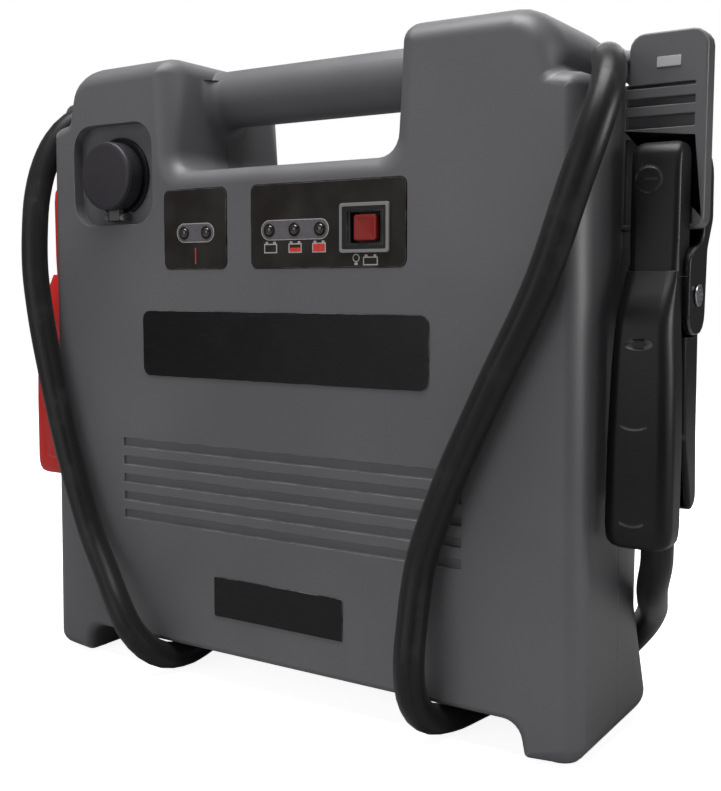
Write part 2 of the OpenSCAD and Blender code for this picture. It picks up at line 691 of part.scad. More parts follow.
// Ring lugs on the ends of the leads, bolted behind the terminals
module lead_lugs() color([0.75, 0.6, 0.35]) both_sides() difference() {
    union() {
        box([terminal_x - 6, terminal_y + 4, battery_top - 5],
            [lug_x + over, terminal_y + 4 + lug_t, battery_top + 7]);
        bar_x(lug_y, battery_top + 1, lug_x, lug_x + lug_l, lead_d + 3, 32);
    }
    bar_y(terminal_x, battery_top + 1, terminal_y, terminal_y + 10, 5.5, 24);
}
module battery_pads() color([0.2, 0.2, 0.2]) {
    box([-pad_w / 2, front_y + wall + fit_gap, gap_h + pad_h0],
        [pad_w / 2, battery_y - battery_d / 2 - fit_gap, gap_h + pad_h1]);
    box([-pad_w / 2, battery_y + battery_d / 2 + fit_gap, gap_h + pad_h0],
        [pad_w / 2, rear_y - wall - fit_gap, gap_h + pad_h1]);
}
module charger_module() color([0.2, 0.22, 0.24]) difference() {
    z0 = battery_top + module_under;
    z1 = mid_screw_z - boss_d / 2 - module_over;
    box([module_x - module_w / 2, module_y, z0], [module_x + module_w / 2, rear_y - wall - fit_gap, z1]);
    for (i = [0:fin_n - 1])
        translate([module_x + (i - (fin_n - 1) / 2) * module_w / (fin_n + 0.5), module_y, 0])
        box([-fin_w / 2, -over, z0 + fin_w / 2], [fin_w / 2, fin_d, z1 - fin_w / 2]);
}
module main_fuse() color([0.6, 0.55, 0.2]) {
    translate([fuse_x, fuse_y, battery_top + fit_gap]) {
        translate([-FUSE[0] / 2, -FUSE[1] / 2, 0]) cube(FUSE);
        translate([-FUSE_TOP[0] / 2, -FUSE_TOP[1] / 2, FUSE[2]]) cube(FUSE_TOP);
    }
}
module charge_inlet() color([0.1, 0.1, 0.1]) difference() {
    body_w = inlet_w - 2 * inlet_lip - 2 * fit_gap;
    body_h = inlet_h - 2 * inlet_lip - 2 * fit_gap;
    union() {
        plate(inlet_x, inlet_z, inlet_w, inlet_h, 4, rear_y - 2, rear_y);
        plate(inlet_x, inlet_z, body_w, body_h, 2.7, rear_y - inlet_d, rear_y - 2);
    }
    plate(inlet_x, inlet_z, body_w - 2 * inlet_wall + 0.6, body_h - 2 * inlet_wall + 0.6, 2,
        rear_y - inlet_d + inlet_floor, rear_y + over);
}
module inlet_pins() color([0.7, 0.65, 0.4]) for (s = [-1, 1])
    translate([inlet_x + s * inlet_pitch / 2, rear_y - inlet_d + inlet_floor, inlet_z])
        box([-0.8, 0, -3.2], [0.8, 19, 3.2]);

// ---- Cables ----

// Round tube along hand-set points, with square ends
function heading(p, i) = unit(p[min(i + 1, len(p) - 1)] - p[max(i - 1, 0)]);
// Side directions carried along the route without twisting
function carried(p, i, last) = let (h = heading(p, i)) unit(last - (last * h) * h);
function frames(p, i, last) = i == len(p) ? [] :
    let (s = carried(p, i, last)) concat([s], frames(p, i + 1, s));
module tube(p, d, sides) {
    across = frames(p, 0, abs(heading(p, 0)[0]) < 0.9 ? [1, 0, 0] : [0, 1, 0]);
    loft([for (i = [0:len(p) - 1])
        let (u = across[i], v = cross(heading(p, i), u))
        [for (k = [0:sides - 1]) let (a = 360 * k / sides) p[i] + d / 2 * (cos(a) * u + sin(a) * v)]]);
}

module cable_right() color([0.1, 0.1, 0.11]) tube(RIGHT_ROUTE, cable_d, 12);
module cable_left() color([0.1, 0.1, 0.11]) mirror([1, 0, 0]) tube(LEFT_ROUTE, cable_d, 12);
module lead_right() color([0.1, 0.1, 0.1]) tube(LEAD_ROUTE, lead_d, 8);
module lead_left() color([0.7, 0.1, 0.08]) mirror([1, 0, 0]) tube(LEAD_ROUTE, lead_d, 8);

module gland(right) side_of(right) translate([outlet_gap_x, gland_y, bay_z0]) {
    translate([0, 0, -wall]) cylinder(d = gland_d - 2 * run_gap, h = wall, $fn = bore_fn);
    cylinder(d = gland_flange_d, h = gland_flange_t, $fn = bore_fn);
    translate([0, 0, gland_flange_t])
        cylinder(d1 = gland_flange_d - 1, d2 = cable_d + 2, h = boot_l - gland_flange_t, $fn = bore_fn);
}
module gland_right() color([0.1, 0.1, 0.11]) gland(true);
module gland_left() color([0.1, 0.1, 0.11]) gland(false);

// ---- Clamps ----

// Side outlines (y, height over the pivot, fillet), counter-clockwise seen from +x
jaw_y = -17;
FRONT_JAW = [[jaw_y, -9, 4], [10, -12, 8], [13, -3, 8], [9, 13, 6], [-0.6, 21, 3], [-0.6, 68, 2],
    [jaw_y, 68, 12]];
FRONT_GRIP = [[-33.5, -112, 6], [-18, -112, 3], [-15, -1, 6], [-32, -1, 5]];
REAR_HEAD = [[-9, -18, 10], [16, -18, 10], [18, 21, 8], [26, 35, 8], [25, 66, 12],
    [ear_t + 0.6, 66, 2], [ear_t + 0.6, 25, 6], [-9, 19, 10]];
REAR_GRIP = [[13, -101, 5], [23, -101, 7], [20, -65, 20], [18, -3, 4], [-2, -3, 4], [2, -65, 10]];

// Cuts that hollow the clamp halves (y, height over the pivot)
FRONT_HOLLOW = [[jaw_y + clamp_wall, -25], [30, -25], [30, 75], [-0.5, 75], [-0.5, 64],
    [jaw_y + clamp_wall, 60]];
GRIP_HOLLOW = [[-33 + clamp_wall, -113 - over], [0, -113 - over], [0, 7], [-14, 7], [-14, -5],
    [-32 + clamp_wall, -7]];
REAR_HOLLOW = [[-20, -25], [15, -25], [15, 21], [23, 36], [22, 62], [0, 62], [0, 23], [-20, 25]];
REAR_GRIP_HOLLOW = [[-20, -105], [20, -98], [17, -65], [15, 5], [-20, 5]];
REAR_GRIP_TOP = [[-20, -19], [15, -19], [15, 5], [-20, 5]];

function raised(v) = [for (c = v) concat([c[0], c[1] + pivot_z], len(c) > 2 ? [c[2]] : [])];
module halfway(v, width, edge) sideways() pillow(raised(v), clamp_x - width / 2, clamp_x + width / 2, edge);
// Straight cut of a side outline, width wide, about the clamp's middle
module slot_cut(v, width) sideways() translate([0, 0, clamp_x - width / 2]) linear_extrude(width)
    polygon([for (c = raised(v)) xy(c)]);

module clamp_front(right) side_of(right) difference() {
    union() {
        difference() {
            halfway(FRONT_JAW, jaw_w, 1.2);
            slot_cut(FRONT_HOLLOW, jaw_w - 2 * clamp_wall);
        }
        difference() {
            halfway(FRONT_GRIP, grip_w, 2.4);
            slot_cut(GRIP_HOLLOW, grip_w - 2 * clamp_wall);
        }
    }
    bar_x(pivot_y, pivot_z, clamp_x - grip_w, clamp_x + grip_w, pin_d + 2 * run_gap);
}
module clamp_rear(right) side_of(right) difference() {
    inner_w = jaw_w + 2 * cheek_gap;
    union() {
        difference() {
            halfway(REAR_HEAD, inner_w + 2 * clamp_wall, 1.2);
            slot_cut(REAR_HOLLOW, inner_w);
        }
        difference() {
            halfway(REAR_GRIP, rear_grip_w, 2);
            slot_cut(REAR_GRIP_HOLLOW, rear_grip_w - 2 * clamp_wall);
            slot_cut(REAR_GRIP_TOP, inner_w);
        }
    }
    bar_x(pivot_y, pivot_z, clamp_x - grip_w, clamp_x + grip_w, pin_d + 2 * run_gap);
}
function reach(outer) = jaw_w / 2 + cheek_gap + clamp_wall + outer;

// Jaw plate with saw teeth towards the ear's web; y0 is its back, y1 its toothed face
module jaw(right, y0, y1) side_of(right) sideways()
    translate([0, 0, clamp_x - plate_jaw_w / 2]) linear_extrude(plate_jaw_w)
        polygon(concat([[y0, jaw_z0], [y0, jaw_z1]], [for (k = [0:tooth_n])
            [y1 - (k % 2) * tooth_d * sign(y1 - y0), jaw_z1 - k * (jaw_z1 - jaw_z0) / tooth_n]]));

module pivot_pin(right) side_of(right) {
    bar_x(pivot_y, pivot_z, clamp_x - reach(0.2), clamp_x + reach(0.2), pin_d);
    for (s = [-1, 1]) translate([clamp_x + s * (reach(0.2) + 0.6), pivot_y, pivot_z]) rotate([0, 90, 0])
        cylinder(d = pin_d + 4, h = 1.2, center = true, $fn = bore_fn);
}
// One leg forwards, the turns round the pin, one leg down
function spring_route() = concat(
    [[clamp_x - spring_w / 2, spring_leg[0], spring_leg[1]]],
    [for (k = [0:8 * spring_n]) let (a = 90 - 45 * k)
        let (x = clamp_x + spring_w * (k / (8 * spring_n) - 0.5))
        [x, pivot_y - spring_r * sin(a), pivot_z + spring_r * cos(a)]],
    [[clamp_x + spring_w / 2, pivot_y + spring_r, pivot_z - 22]]);
module spring(right) side_of(right) tube(spring_route(), wire_d, 6);
module crimp(right) side_of(right) difference() {
    translate([clamp_x + 0.5, crimp_y, crimp_z]) cylinder(d = crimp_d, h = crimp_h, $fn = 32);
    for (s = [-1, 1]) translate([clamp_x + 0.5, crimp_y + s * (crimp_tab / 2 + crimp_d / 2), crimp_z + crimp_h])
        cube([2 * crimp_d, crimp_d, crimp_h], center = true);
}

module clamp_front_right() color([0.09, 0.1, 0.1]) clamp_front(true);
module clamp_rear_right() color([0.09, 0.1, 0.1]) clamp_rear(true);
module clamp_front_left() color([0.75, 0.15, 0.13]) clamp_front(false);
module clamp_rear_left() color([0.75, 0.15, 0.13]) clamp_rear(false);
module jaw_front_right() color([0.72, 0.45, 0.3]) jaw(true, jaw_y + clamp_wall, (ear_t - ear_web) / 2 - fit_gap);
module jaw_front_left() color([0.72, 0.45, 0.3]) jaw(false, jaw_y + clamp_wall, (ear_t - ear_web) / 2 - fit_gap);
module jaw_rear_right() color([0.72, 0.45, 0.3]) jaw(true, 22, (ear_t + ear_web) / 2 + fit_gap);
module jaw_rear_left() color([0.72, 0.45, 0.3]) jaw(false, 22, (ear_t + ear_web) / 2 + fit_gap);
module pivot_pin_right() color([0.6, 0.6, 0.62]) pivot_pin(true);
module pivot_pin_left() color([0.6, 0.6, 0.62]) pivot_pin(false);
module spring_right() color([0.5, 0.5, 0.52]) spring(true);
module spring_left() color([0.5, 0.5, 0.52]) spring(false);
module crimp_right() color([0.72, 0.45, 0.3]) crimp(true);
module crimp_left() color([0.72, 0.45, 0.3]) crimp(false);

front_shell();
rear_shell();
ear_right();
ear_left();
case_screws();
foot_pads();
charging_panel();
battery_panel();
charging_lamps();
battery_lamps();
lamp_board();
front_plate();
lower_plate();
ear_plates();
switch_bezel();
switch_body();
switch_button();
socket_flange();
socket_barrel();
socket_contact();
cap_hinge();
cap_hinge_pin();
socket_cap();
battery();
battery_terminals();
terminal_bolts();
lead_lugs();
battery_pads();
charger_module();
main_fuse();
charge_inlet();
inlet_pins();
lead_right();
lead_left();
gland_right();
gland_left();
cable_right();
cable_left();
clamp_front_right();
clamp_rear_right();
jaw_front_right();
jaw_rear_right();
pivot_pin_right();
spring_right();
crimp_right();
clamp_front_left();
clamp_rear_left();
jaw_front_left();
jaw_rear_left();
pivot_pin_left();
spring_left();
crimp_left();
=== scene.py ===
"""Jump starter pack: finishes, cables, trim, clamps and a small studio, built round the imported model.

Lengths are in metres, except levels, routes, printed marks and what low, high and middle give, which are in
millimetres. +X is the pack's right side, +Y its back and +Z up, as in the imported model.
"""

import math
from contextlib import contextmanager

import bmesh
import bpy
from bpy.props import FloatProperty, FloatVectorProperty, IntProperty, PointerProperty
from mathutils import Matrix, Vector


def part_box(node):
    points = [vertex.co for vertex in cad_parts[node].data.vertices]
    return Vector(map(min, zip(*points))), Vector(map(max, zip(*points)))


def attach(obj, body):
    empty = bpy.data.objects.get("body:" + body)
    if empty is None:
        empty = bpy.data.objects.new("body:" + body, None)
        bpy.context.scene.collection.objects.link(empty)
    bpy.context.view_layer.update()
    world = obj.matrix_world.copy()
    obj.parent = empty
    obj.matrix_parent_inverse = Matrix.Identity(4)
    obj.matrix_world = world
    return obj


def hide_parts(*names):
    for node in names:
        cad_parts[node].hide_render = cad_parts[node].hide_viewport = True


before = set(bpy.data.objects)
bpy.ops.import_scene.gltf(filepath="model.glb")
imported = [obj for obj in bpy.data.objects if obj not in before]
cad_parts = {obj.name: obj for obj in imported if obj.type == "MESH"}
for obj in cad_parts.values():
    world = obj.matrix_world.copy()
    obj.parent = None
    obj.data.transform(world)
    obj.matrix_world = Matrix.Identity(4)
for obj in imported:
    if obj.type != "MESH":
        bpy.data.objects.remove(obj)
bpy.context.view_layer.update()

bl_info = {
    "name": "Jump Starter Pack",
    "version": (1, 0, 0),
    "blender": (4, 5, 0),
    "location": "3D Viewport > Sidebar > Jump Starter",
    "description": "Builds the looks of a portable jump starter pack round its packed model",
    "category": "Object",
}

MM = 0.001
CORNER_STEPS = 6                       # facets of a stacked plate's rounded corner
MERGE_REACH = 0.01 * MM                # vertices nearer than this are one
FLAT_TURN = math.radians(0.4)          # faces that turn less than this are one


def paint(red, green, blue):
    """Linear colour of a screen colour given in 0..255."""
    def linear(value):
        value /= 255
        return value / 12.92 if value <= 0.04045 else ((value + 0.055) / 1.055) ** 2.4
    return linear(red), linear(green), linear(blue)


# ---- Sizes and colours that a user would change ----

def length(name, description, millimetres):
    return FloatProperty(name=name, description=description, default=millimetres * MM, min=0, unit="LENGTH")


def colour(name, description, red, green, blue):
    return FloatVectorProperty(name=name, description=description, subtype="COLOR", size=3, min=0, max=1,
                               default=paint(red, green, blue))


class PackSizes(bpy.types.PropertyGroup):
    """Sizes of the finishing detail"""

    case_edge: length("Case edge", "Rounding of the case's small edges", 0.5)
    trim_edge: length("Trim edge", "Rounding of the edges of plates, panels and the switch", 0.25)
    metal_edge: length("Metal edge", "Rounding of the edges of pins, jaws and screws", 0.15)
    cable_width: length("Cable diameter", "Outer diameter of a clamp cable", 15)
    cable_step: length("Cable step", "Distance between the rings of a cable's surface", 6)
    spring_wire: length("Spring wire", "Diameter of a clamp spring's wire", 2)
    print_height: length("Print height", "Thickness of the printed marks on the panels", 0.1)
    grip_wall: length("Clamp wall", "Wall thickness of a clamp's front half", 2.6)
    mark_depth: length("Mark depth", "Depth of the marks moulded into a clamp", 0.5)
    boot_ribs: IntProperty(name="Boot ribs", description="Number of ribs on a cable's boot",
                           default=5, min=2, max=8)
    cap_ribs: IntProperty(name="Cap ribs", description="Number of grip ribs round the outlet's cap",
                          default=60, min=24, max=96)


class PackColours(bpy.types.PropertyGroup):
    """Colours of the pack's finishes"""

    case_grey: colour("Case", "Moulded plastic of both shells and the ears", 96, 96, 99)
    cable_black: colour("Cable", "Rubber jacket of the cables and leads", 14, 14, 15)
    clamp_black: colour("Black clamp", "Plastic of the clamp on the right", 13, 13, 13)
    clamp_red: colour("Red clamp", "Plastic of the clamp on the left", 206, 30, 26)
    cap_grey: colour("Outlet cap", "Plastic of the outlet's cap", 46, 43, 49)
    panel_film: colour("Panel film", "Printed film of both status panels", 31, 26, 22)
    print_white: colour("White print", "White marks on the status panels", 184, 182, 178)
    print_red: colour("Red print", "Red marks on the status panels", 222, 52, 46)
    print_grey: colour("Grey print", "Grey bands round the lamps", 100, 96, 102)
    button_red: colour("Button", "Plastic of the test button", 140, 24, 16)
    floor_pale: colour("Floor", "Floor under the pack", 243, 243, 243)


# ---- Modelling tools ----

def only(*pieces):
    """Selects these pieces and nothing else, with the first of them active."""
    bpy.ops.object.select_all(action="DESELECT")
    for piece in pieces:
        piece.select_set(True)
    bpy.context.view_layer.objects.active = pieces[0]


@contextmanager
def editing(piece):
    """Edit mode on one piece, with nothing of it selected at first."""
    only(piece)
    bpy.ops.object.mode_set(mode="EDIT")
    bpy.ops.mesh.select_all(action="DESELECT")
    yield
    bpy.ops.object.mode_set(mode="OBJECT")


def pick(kind, test):
    """Selects the verts, edges or faces of the piece in edit mode that pass a test, and no others."""
    mode = {"verts": "VERT", "edges": "EDGE", "faces": "FACE"}[kind]
    bpy.ops.mesh.select_mode(type=mode)
    bpy.ops.mesh.select_all(action="DESELECT")
    mesh = bpy.context.object.data
    shape = bmesh.from_edit_mesh(mesh)
    for part in getattr(shape, kind):
        part.select_set(bool(test(part)))
    shape.select_flush(True)
    bmesh.update_edit_mesh(mesh)


def modified(piece, kind, **settings):
    """Adds a modifier with these settings and applies it."""
    only(piece)
    bpy.ops.object.modifier_add(type=kind)
    change = piece.modifiers[-1]
    for name, value in settings.items():
        setattr(change, name, value)
    bpy.ops.object.modifier_apply(modifier=change.name)


def stacked(name, levels, corner=0.0, sides=0, flat_back=False):
    """Solid built by extruding a plate from level to level.

    A level is (height, x0, x1, y0, y1) in millimetres. The plate is a disc where sides is given, and else a
    rectangle whose corners are rounded by corner. With flat_back, only the corners towards -y are rounded.
    """
    def centre(level):
        return Vector(((level[1] + level[2]) / 2, (level[3] + level[4]) / 2, level[0])) * MM

    def spans(level):
        return (level[2] - level[1]) * MM, (level[4] - level[3]) * MM

    if sides:
        bpy.ops.mesh.primitive_circle_add(vertices=sides, radius=0.5, fill_type="NGON")
    else:
        bpy.ops.mesh.primitive_plane_add(size=1)
    piece = bpy.context.object
    piece.name = name
    with editing(piece):
        bpy.ops.mesh.select_all(action="SELECT")
        width, depth = spans(levels[0])
        bpy.ops.transform.resize(value=(width, depth, 1), center_override=(0, 0, 0))
        bpy.ops.transform.translate(value=centre(levels[0]))
        if corner:
            middle = centre(levels[0]).y
            pick("verts", lambda vert: not flat_back or vert.co.y < middle)
            bpy.ops.mesh.bevel(offset=corner * MM, segments=CORNER_STEPS, affect="VERTICES")
            bpy.ops.mesh.select_all(action="SELECT")
        for lower, upper in zip(levels, levels[1:]):
            step = centre(upper) - centre(lower)
            bpy.ops.mesh.extrude_region_move(TRANSFORM_OT_translate={"value": step})
            grown = [new / old for new, old in zip(spans(upper), spans(lower))]
            bpy.ops.transform.resize(value=(*grown, 1), center_override=centre(upper))
        bpy.ops.mesh.select_all(action="SELECT")
        bpy.ops.mesh.normals_make_consistent(inside=False)
    return piece


def disc(height, radius, x=0.0, y=0.0):
    """Level of a stacked round piece, in millimetres."""
    return height, x - radius, x + radius, y - radius, y + radius


def plate_levels(x0, x1, y0, y1, low, high, edge):
    """Levels of a flat plate whose upper rim is rounded by edge, in millimetres."""
    levels = [(low, x0, x1, y0, y1)]
    for turn in (0, math.pi / 4, math.pi / 2):
        step, drop = edge * (1 - math.cos(turn)), edge * (1 - math.sin(turn))
        levels.append((high - drop, x0 + step, x1 - step, y0 + step, y1 - step))
    return levels


def placed(piece, location=(0, 0, 0), turn=(0, 0, 0)):
    """Turns and moves a piece, with its place written into its mesh; turn is in degrees."""
    piece.rotation_euler = [math.radians(angle) for angle in turn]
    piece.location = location
    only(piece)
    bpy.ops.object.transform_apply(location=True, rotation=True, scale=True)
    return piece


def to_front(piece):
    """Turns a piece that was built upwards so that its top faces the front, and its height becomes -y."""
    return placed(piece, turn=(90, 0, 0))


def copied(piece, name, shift=(0, 0, 0)):
    """Copy of a piece with a mesh of its own, moved by shift."""
    only(piece)
    bpy.ops.object.duplicate()
    copy = bpy.context.object
    copy.name = name
    return placed(copy, shift)


def mirrored(piece, name):
    """Copy of a piece on the other side of the pack."""
    copy = copied(piece, name)
    copy.scale = (-1, 1, 1)
    placed(copy)
    measured = bmesh.new()
    measured.from_mesh(copy.data)
    inside_out = measured.calc_volume(signed=True) < 0
    measured.free()
    if inside_out:
        with editing(copy):
            bpy.ops.mesh.select_all(action="SELECT")
            bpy.ops.mesh.flip_normals()
    return copy


def joined(name, *pieces):
    """One piece made of several."""
    only(*pieces)
    bpy.ops.object.join()
    pieces[0].name = name
    return pieces[0]


def cut(piece, *cutters):
    """Takes the cutters' shapes out of a piece."""
    for cutter in cutters:
        modified(piece, "BOOLEAN", operation="DIFFERENCE", solver="EXACT", object=cutter)
        only(cutter)
        bpy.ops.object.delete()
    return piece


def marked_edges(piece, width):
    """Stores 1 along the middle of each small rounding and 0 elsewhere, for the wear shader to read."""
    narrow = 0.9 * width
    shape = bmesh.new()
    shape.from_mesh(piece.data)
    edge = shape.verts.layers.float.new("edge")
    for vert in shape.verts:
        strips = [2 * face.calc_area() / face.calc_perimeter() for face in vert.link_faces]
        vert[edge] = float(bool(strips) and max(strips) < narrow)
    shape.to_mesh(piece.data)
    shape.free()


def softened(piece, width, crease=35, smooth=32):
    """Rounds a piece's edges that are sharper than crease and shades the rest smooth."""
    if width:
        modified(piece, "BEVEL", width=width, segments=2, limit_method="ANGLE",
                 angle_limit=math.radians(crease), use_clamp_overlap=False)
        marked_edges(piece, width)
    only(piece)
    bpy.ops.object.shade_smooth_by_angle(angle=math.radians(smooth))
    modified(piece, "WEIGHTED_NORMAL", keep_sharp=True)
    return piece


def dressed(node, width, crease=35, smooth=32):
    """Copy of a CAD node with merged faces and softened edges."""
    only(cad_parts[node])
    bpy.ops.object.duplicate()
    piece = bpy.context.object
    for key in list(piece.keys()):
        del piece[key]
    piece.parent = None
    piece.matrix_world = Matrix.Identity(4)
    piece.name = node + "_skin"
    with editing(piece):
        bpy.ops.mesh.select_all(action="SELECT")
        bpy.ops.mesh.remove_doubles(threshold=MERGE_REACH)
        bpy.ops.mesh.dissolve_limited(angle_limit=FLAT_TURN)
    only(piece)
    if piece.data.has_custom_normals:
        bpy.ops.mesh.customdata_custom_splitnormals_clear()
    return softened(piece, width, crease, smooth)


def finished(piece, body, slot, *nodes, ink_slot=None):
    """Gives a piece its finish and the body it moves with, and hides the CAD nodes it stands for.

    A print has the material of ink_slot, and slot, the panel's slot, is then not used.
    """
    placed(piece)
    piece.data.materials.clear()
    piece.data.materials.append(finish(ink_slot or slot))
    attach(piece, body)
    if nodes:
        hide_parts(*nodes)
    return piece


def skinned(node, slot, width, body="case", crease=35, smooth=32):
    """Finishes a CAD node with a softened copy of itself."""
    return finished(dressed(node, width, crease, smooth), body, slot, node)


def coated(node, slot):
    """Gives a CAD node that keeps its own shape a finish."""
    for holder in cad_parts[node].material_slots:
        holder.material = finish(slot)


def tube(name, path, radius, sides):
    """Round tube along a path, with closed ends and a UV map that runs round and along it."""
    headings = [(after - before).normalized()
                for before, after in zip(path[:1] + path[:-1], path[1:] + path[-1:])]
    side = headings[0].orthogonal().normalized()
    shape = bmesh.new()
    uv = shape.loops.layers.uv.new("along")
    rings, runs = [], [0.0]
    for place, heading in zip(path, headings):
        side = (side - side.dot(heading) * heading).normalized()
        up = heading.cross(side)
        turns = [math.tau * k / sides for k in range(sides)]
        rings.append([shape.verts.new(place + radius * (math.cos(turn) * side + math.sin(turn) * up))
                      for turn in turns])
    for before, after in zip(path, path[1:]):
        runs.append(runs[-1] + (after - before).length)
    for i in range(len(path) - 1):
        for k in range(sides):
            n = (k + 1) % sides
            face = shape.faces.new((rings[i][k], rings[i][n], rings[i + 1][n], rings[i + 1][k]))
            spots = ((k, i), (k + 1, i), (k + 1, i + 1), (k, i + 1))
            for loop, (around, along) in zip(face.loops, spots):
                loop[uv].uv = (around / sides, runs[along])
    shape.faces.new(rings[0][::-1])
    shape.faces.new(rings[-1])
    shape.normal_update()
    mesh = bpy.data.meshes.new(name)
    shape.to_mesh(mesh)
    shape.free()
    piece = bpy.data.objects.new(name, mesh)
    bpy.context.collection.objects.link(piece)
    only(piece)
    bpy.ops.object.shade_smooth_by_angle(angle=math.radians(60))
    return piece


def smooth_path(points, step):
    """Points about a step apart on a smooth curve through the route's points."""
    gaps = [(after - before).length for before, after in zip(points, points[1:])]
    pulls = [(points[1] - points[0]) / gaps[0]]
    for i in range(1, len(points) - 1):
        before = (points[i] - points[i - 1]) / gaps[i - 1]
        after = (points[i + 1] - points[i]) / gaps[i]
        pulls.append((before * gaps[i] + after * gaps[i - 1]) / (gaps[i - 1] + gaps[i]))
    pulls.append((points[-1] - points[-2]) / gaps[-1])
    path = [points[0]]
    for i, gap in enumerate(gaps):
        count = max(1, round(gap / step))
        for k in range(1, count + 1):
            t = k / count
            path.append((2 * t**3 - 3 * t**2 + 1) * points[i] + (3 * t**2 - 2 * t**3) * points[i + 1]
                        + (t**3 - 2 * t**2 + t) * gap * pulls[i] + (t**3 - t**2) * gap * pulls[i + 1])
    return path


# ---- Shader building blocks ----

def add(tree, kind, settings=None, **inputs):
    """Adds a shader node; inputs are values or sockets, named with _ for a space, or by number as i0, i1."""
    made = tree.nodes.new("ShaderNode" + kind)
    for name, value in (settings or {}).items():
        setattr(made, name, value)
    for name, value in inputs.items():
        numbered = name[0] == "i" and name[1:].isdigit()
        socket = made.inputs[int(name[1:]) if numbered else name.replace("_", " ")]
        if isinstance(value, bpy.types.NodeSocket):
            tree.links.new(value, socket)
        else:
            socket.default_value = value
    return made


def math_node(tree, operation, first, second=0.0, clamp=False):
    made = add(tree, "Math", {"operation": operation, "use_clamp": clamp}, i0=first, i1=second)
    return made.outputs[0]


def ramp(tree, value, low, high, to_low=0.0, to_high=1.0):
    made = add(tree, "MapRange", {"interpolation_type": "SMOOTHSTEP"}, Value=value,
               From_Min=low, From_Max=high, To_Min=to_low, To_Max=to_high)
    return made.outputs["Result"]


def mix_colour(tree, factor, first, second, blend="MIX"):
    made = tree.nodes.new("ShaderNodeMix")
    made.data_type = "RGBA"
    made.blend_type = blend
    for number, value in ((0, factor), (6, first), (7, second)):
        if isinstance(value, bpy.types.NodeSocket):
            tree.links.new(value, made.inputs[number])
        elif number:
            made.inputs[number].default_value = (*value, 1)
        else:
            made.inputs[number].default_value = value
    return made.outputs[2]


def group(name, inputs, outputs, build):
    """Shader node group with named float or vector inputs and float outputs, made once."""
    if name in bpy.data.node_groups:
        return bpy.data.node_groups[name]
    tree = bpy.data.node_groups.new(name, "ShaderNodeTree")
    for label, value in inputs.items():
        kind = "NodeSocketFloat" if isinstance(value, (int, float)) else "NodeSocketVector"
        tree.interface.new_socket(label, in_out="INPUT", socket_type=kind).default_value = value
    for label in outputs:
        tree.interface.new_socket(label, in_out="OUTPUT", socket_type="NodeSocketFloat")
    entry = tree.nodes.new("NodeGroupInput")
    leave = tree.nodes.new("NodeGroupOutput")
    for label, socket in build(tree, entry.outputs).items():
        tree.links.new(socket, leave.inputs[label])
    return tree


def use(tree, shared, **inputs):
    """Places a node group in a material with its own values."""
    made = tree.nodes.new("ShaderNodeGroup")
    made.node_tree = shared
    for name, value in inputs.items():
        made.inputs[name.replace("_", " ")].default_value = value
    return made.outputs


def object_place(tree):
    return tree.nodes.new("ShaderNodeTexCoord").outputs["Object"]


def noise(tree, place, scale, detail=2.0, rough=0.5):
    made = tree.nodes.new("ShaderNodeTexNoise")
    tree.links.new(place, made.inputs["Vector"])
    for name, value in (("Scale", scale), ("Detail", detail), ("Roughness", rough)):
        if isinstance(value, bpy.types.NodeSocket):
            tree.links.new(value, made.inputs[name])
        else:
            made.inputs[name].default_value = value
    return made.outputs["Fac"]


def moulded_grain():
    """Fine spark-eroded texture of moulded plastic, and the slow drift of its tone."""
    def build(tree, given):
        place = object_place(tree)
        fine = noise(tree, place, given["Scale"], 3.0, 0.6)
        cells = add(tree, "TexVoronoi", {"feature": "SMOOTH_F1"}, Vector=place, Scale=given["Scale"])
        height = math_node(tree, "ADD", fine, math_node(tree, "MULTIPLY", cells.outputs["Distance"], 0.6))
        slow = noise(tree, place, given["Drift Scale"], 2.0, 0.5)
        return {"Height": height, "Drift": ramp(tree, slow, 0.3, 0.7)}
    return group("Moulded Grain", {"Scale": 1400.0, "Drift Scale": 9.0}, ("Height", "Drift"), build)


def edge_wear():
    """Rubbed edges: the rounded edges of a piece, broken up by noise."""
    def build(tree, given):
        edge = add(tree, "Attribute", {"attribute_name": "edge"}).outputs["Fac"]
        rubs = ramp(tree, noise(tree, object_place(tree), given["Break Scale"], 4.0, 0.65), 0.38, 0.62)
        worn = math_node(tree, "MULTIPLY", edge, rubs)
        return {"Mask": math_node(tree, "MULTIPLY", worn, given["Amount"], clamp=True)}
    return group("Edge Wear", {"Amount": 0.5, "Break Scale": 90.0}, ("Mask",), build)


def settled_dust():
    """Light dust on what faces up, in soft patches."""
    def build(tree, given):
        normal = tree.nodes.new("ShaderNodeNewGeometry").outputs["Normal"]
        up = ramp(tree, add(tree, "SeparateXYZ", Vector=normal).outputs["Z"], 0.35, 1.0)
        patches = ramp(tree, noise(tree, object_place(tree), given["Patch Scale"], 5.0, 0.6), 0.35, 0.75)
        dusty = math_node(tree, "MULTIPLY", up, patches)
        return {"Mask": math_node(tree, "MULTIPLY", dusty, given["Amount"], clamp=True)}
    return group("Settled Dust", {"Amount": 0.2, "Patch Scale": 30.0}, ("Mask",), build)


def fine_scratches():
    """Hair scratches in two crossing directions."""
    def build(tree, given):
        place = object_place(tree)
        hairs = []
        for turn in ((0.0, 0.35, 0.4), (0.2, -0.6, -0.9)):
            turned = add(tree, "Mapping", Vector=place, Rotation=turn, Scale=(0.04, 1.0, 1.0)).outputs[0]
            hairs.append(ramp(tree, noise(tree, turned, given["Scale"], 2.0, 0.4), 0.66, 0.72))
        return {"Mask": math_node(tree, "MAXIMUM", *hairs)}
    return group("Fine Scratches", {"Scale": 1500.0}, ("Mask",), build)


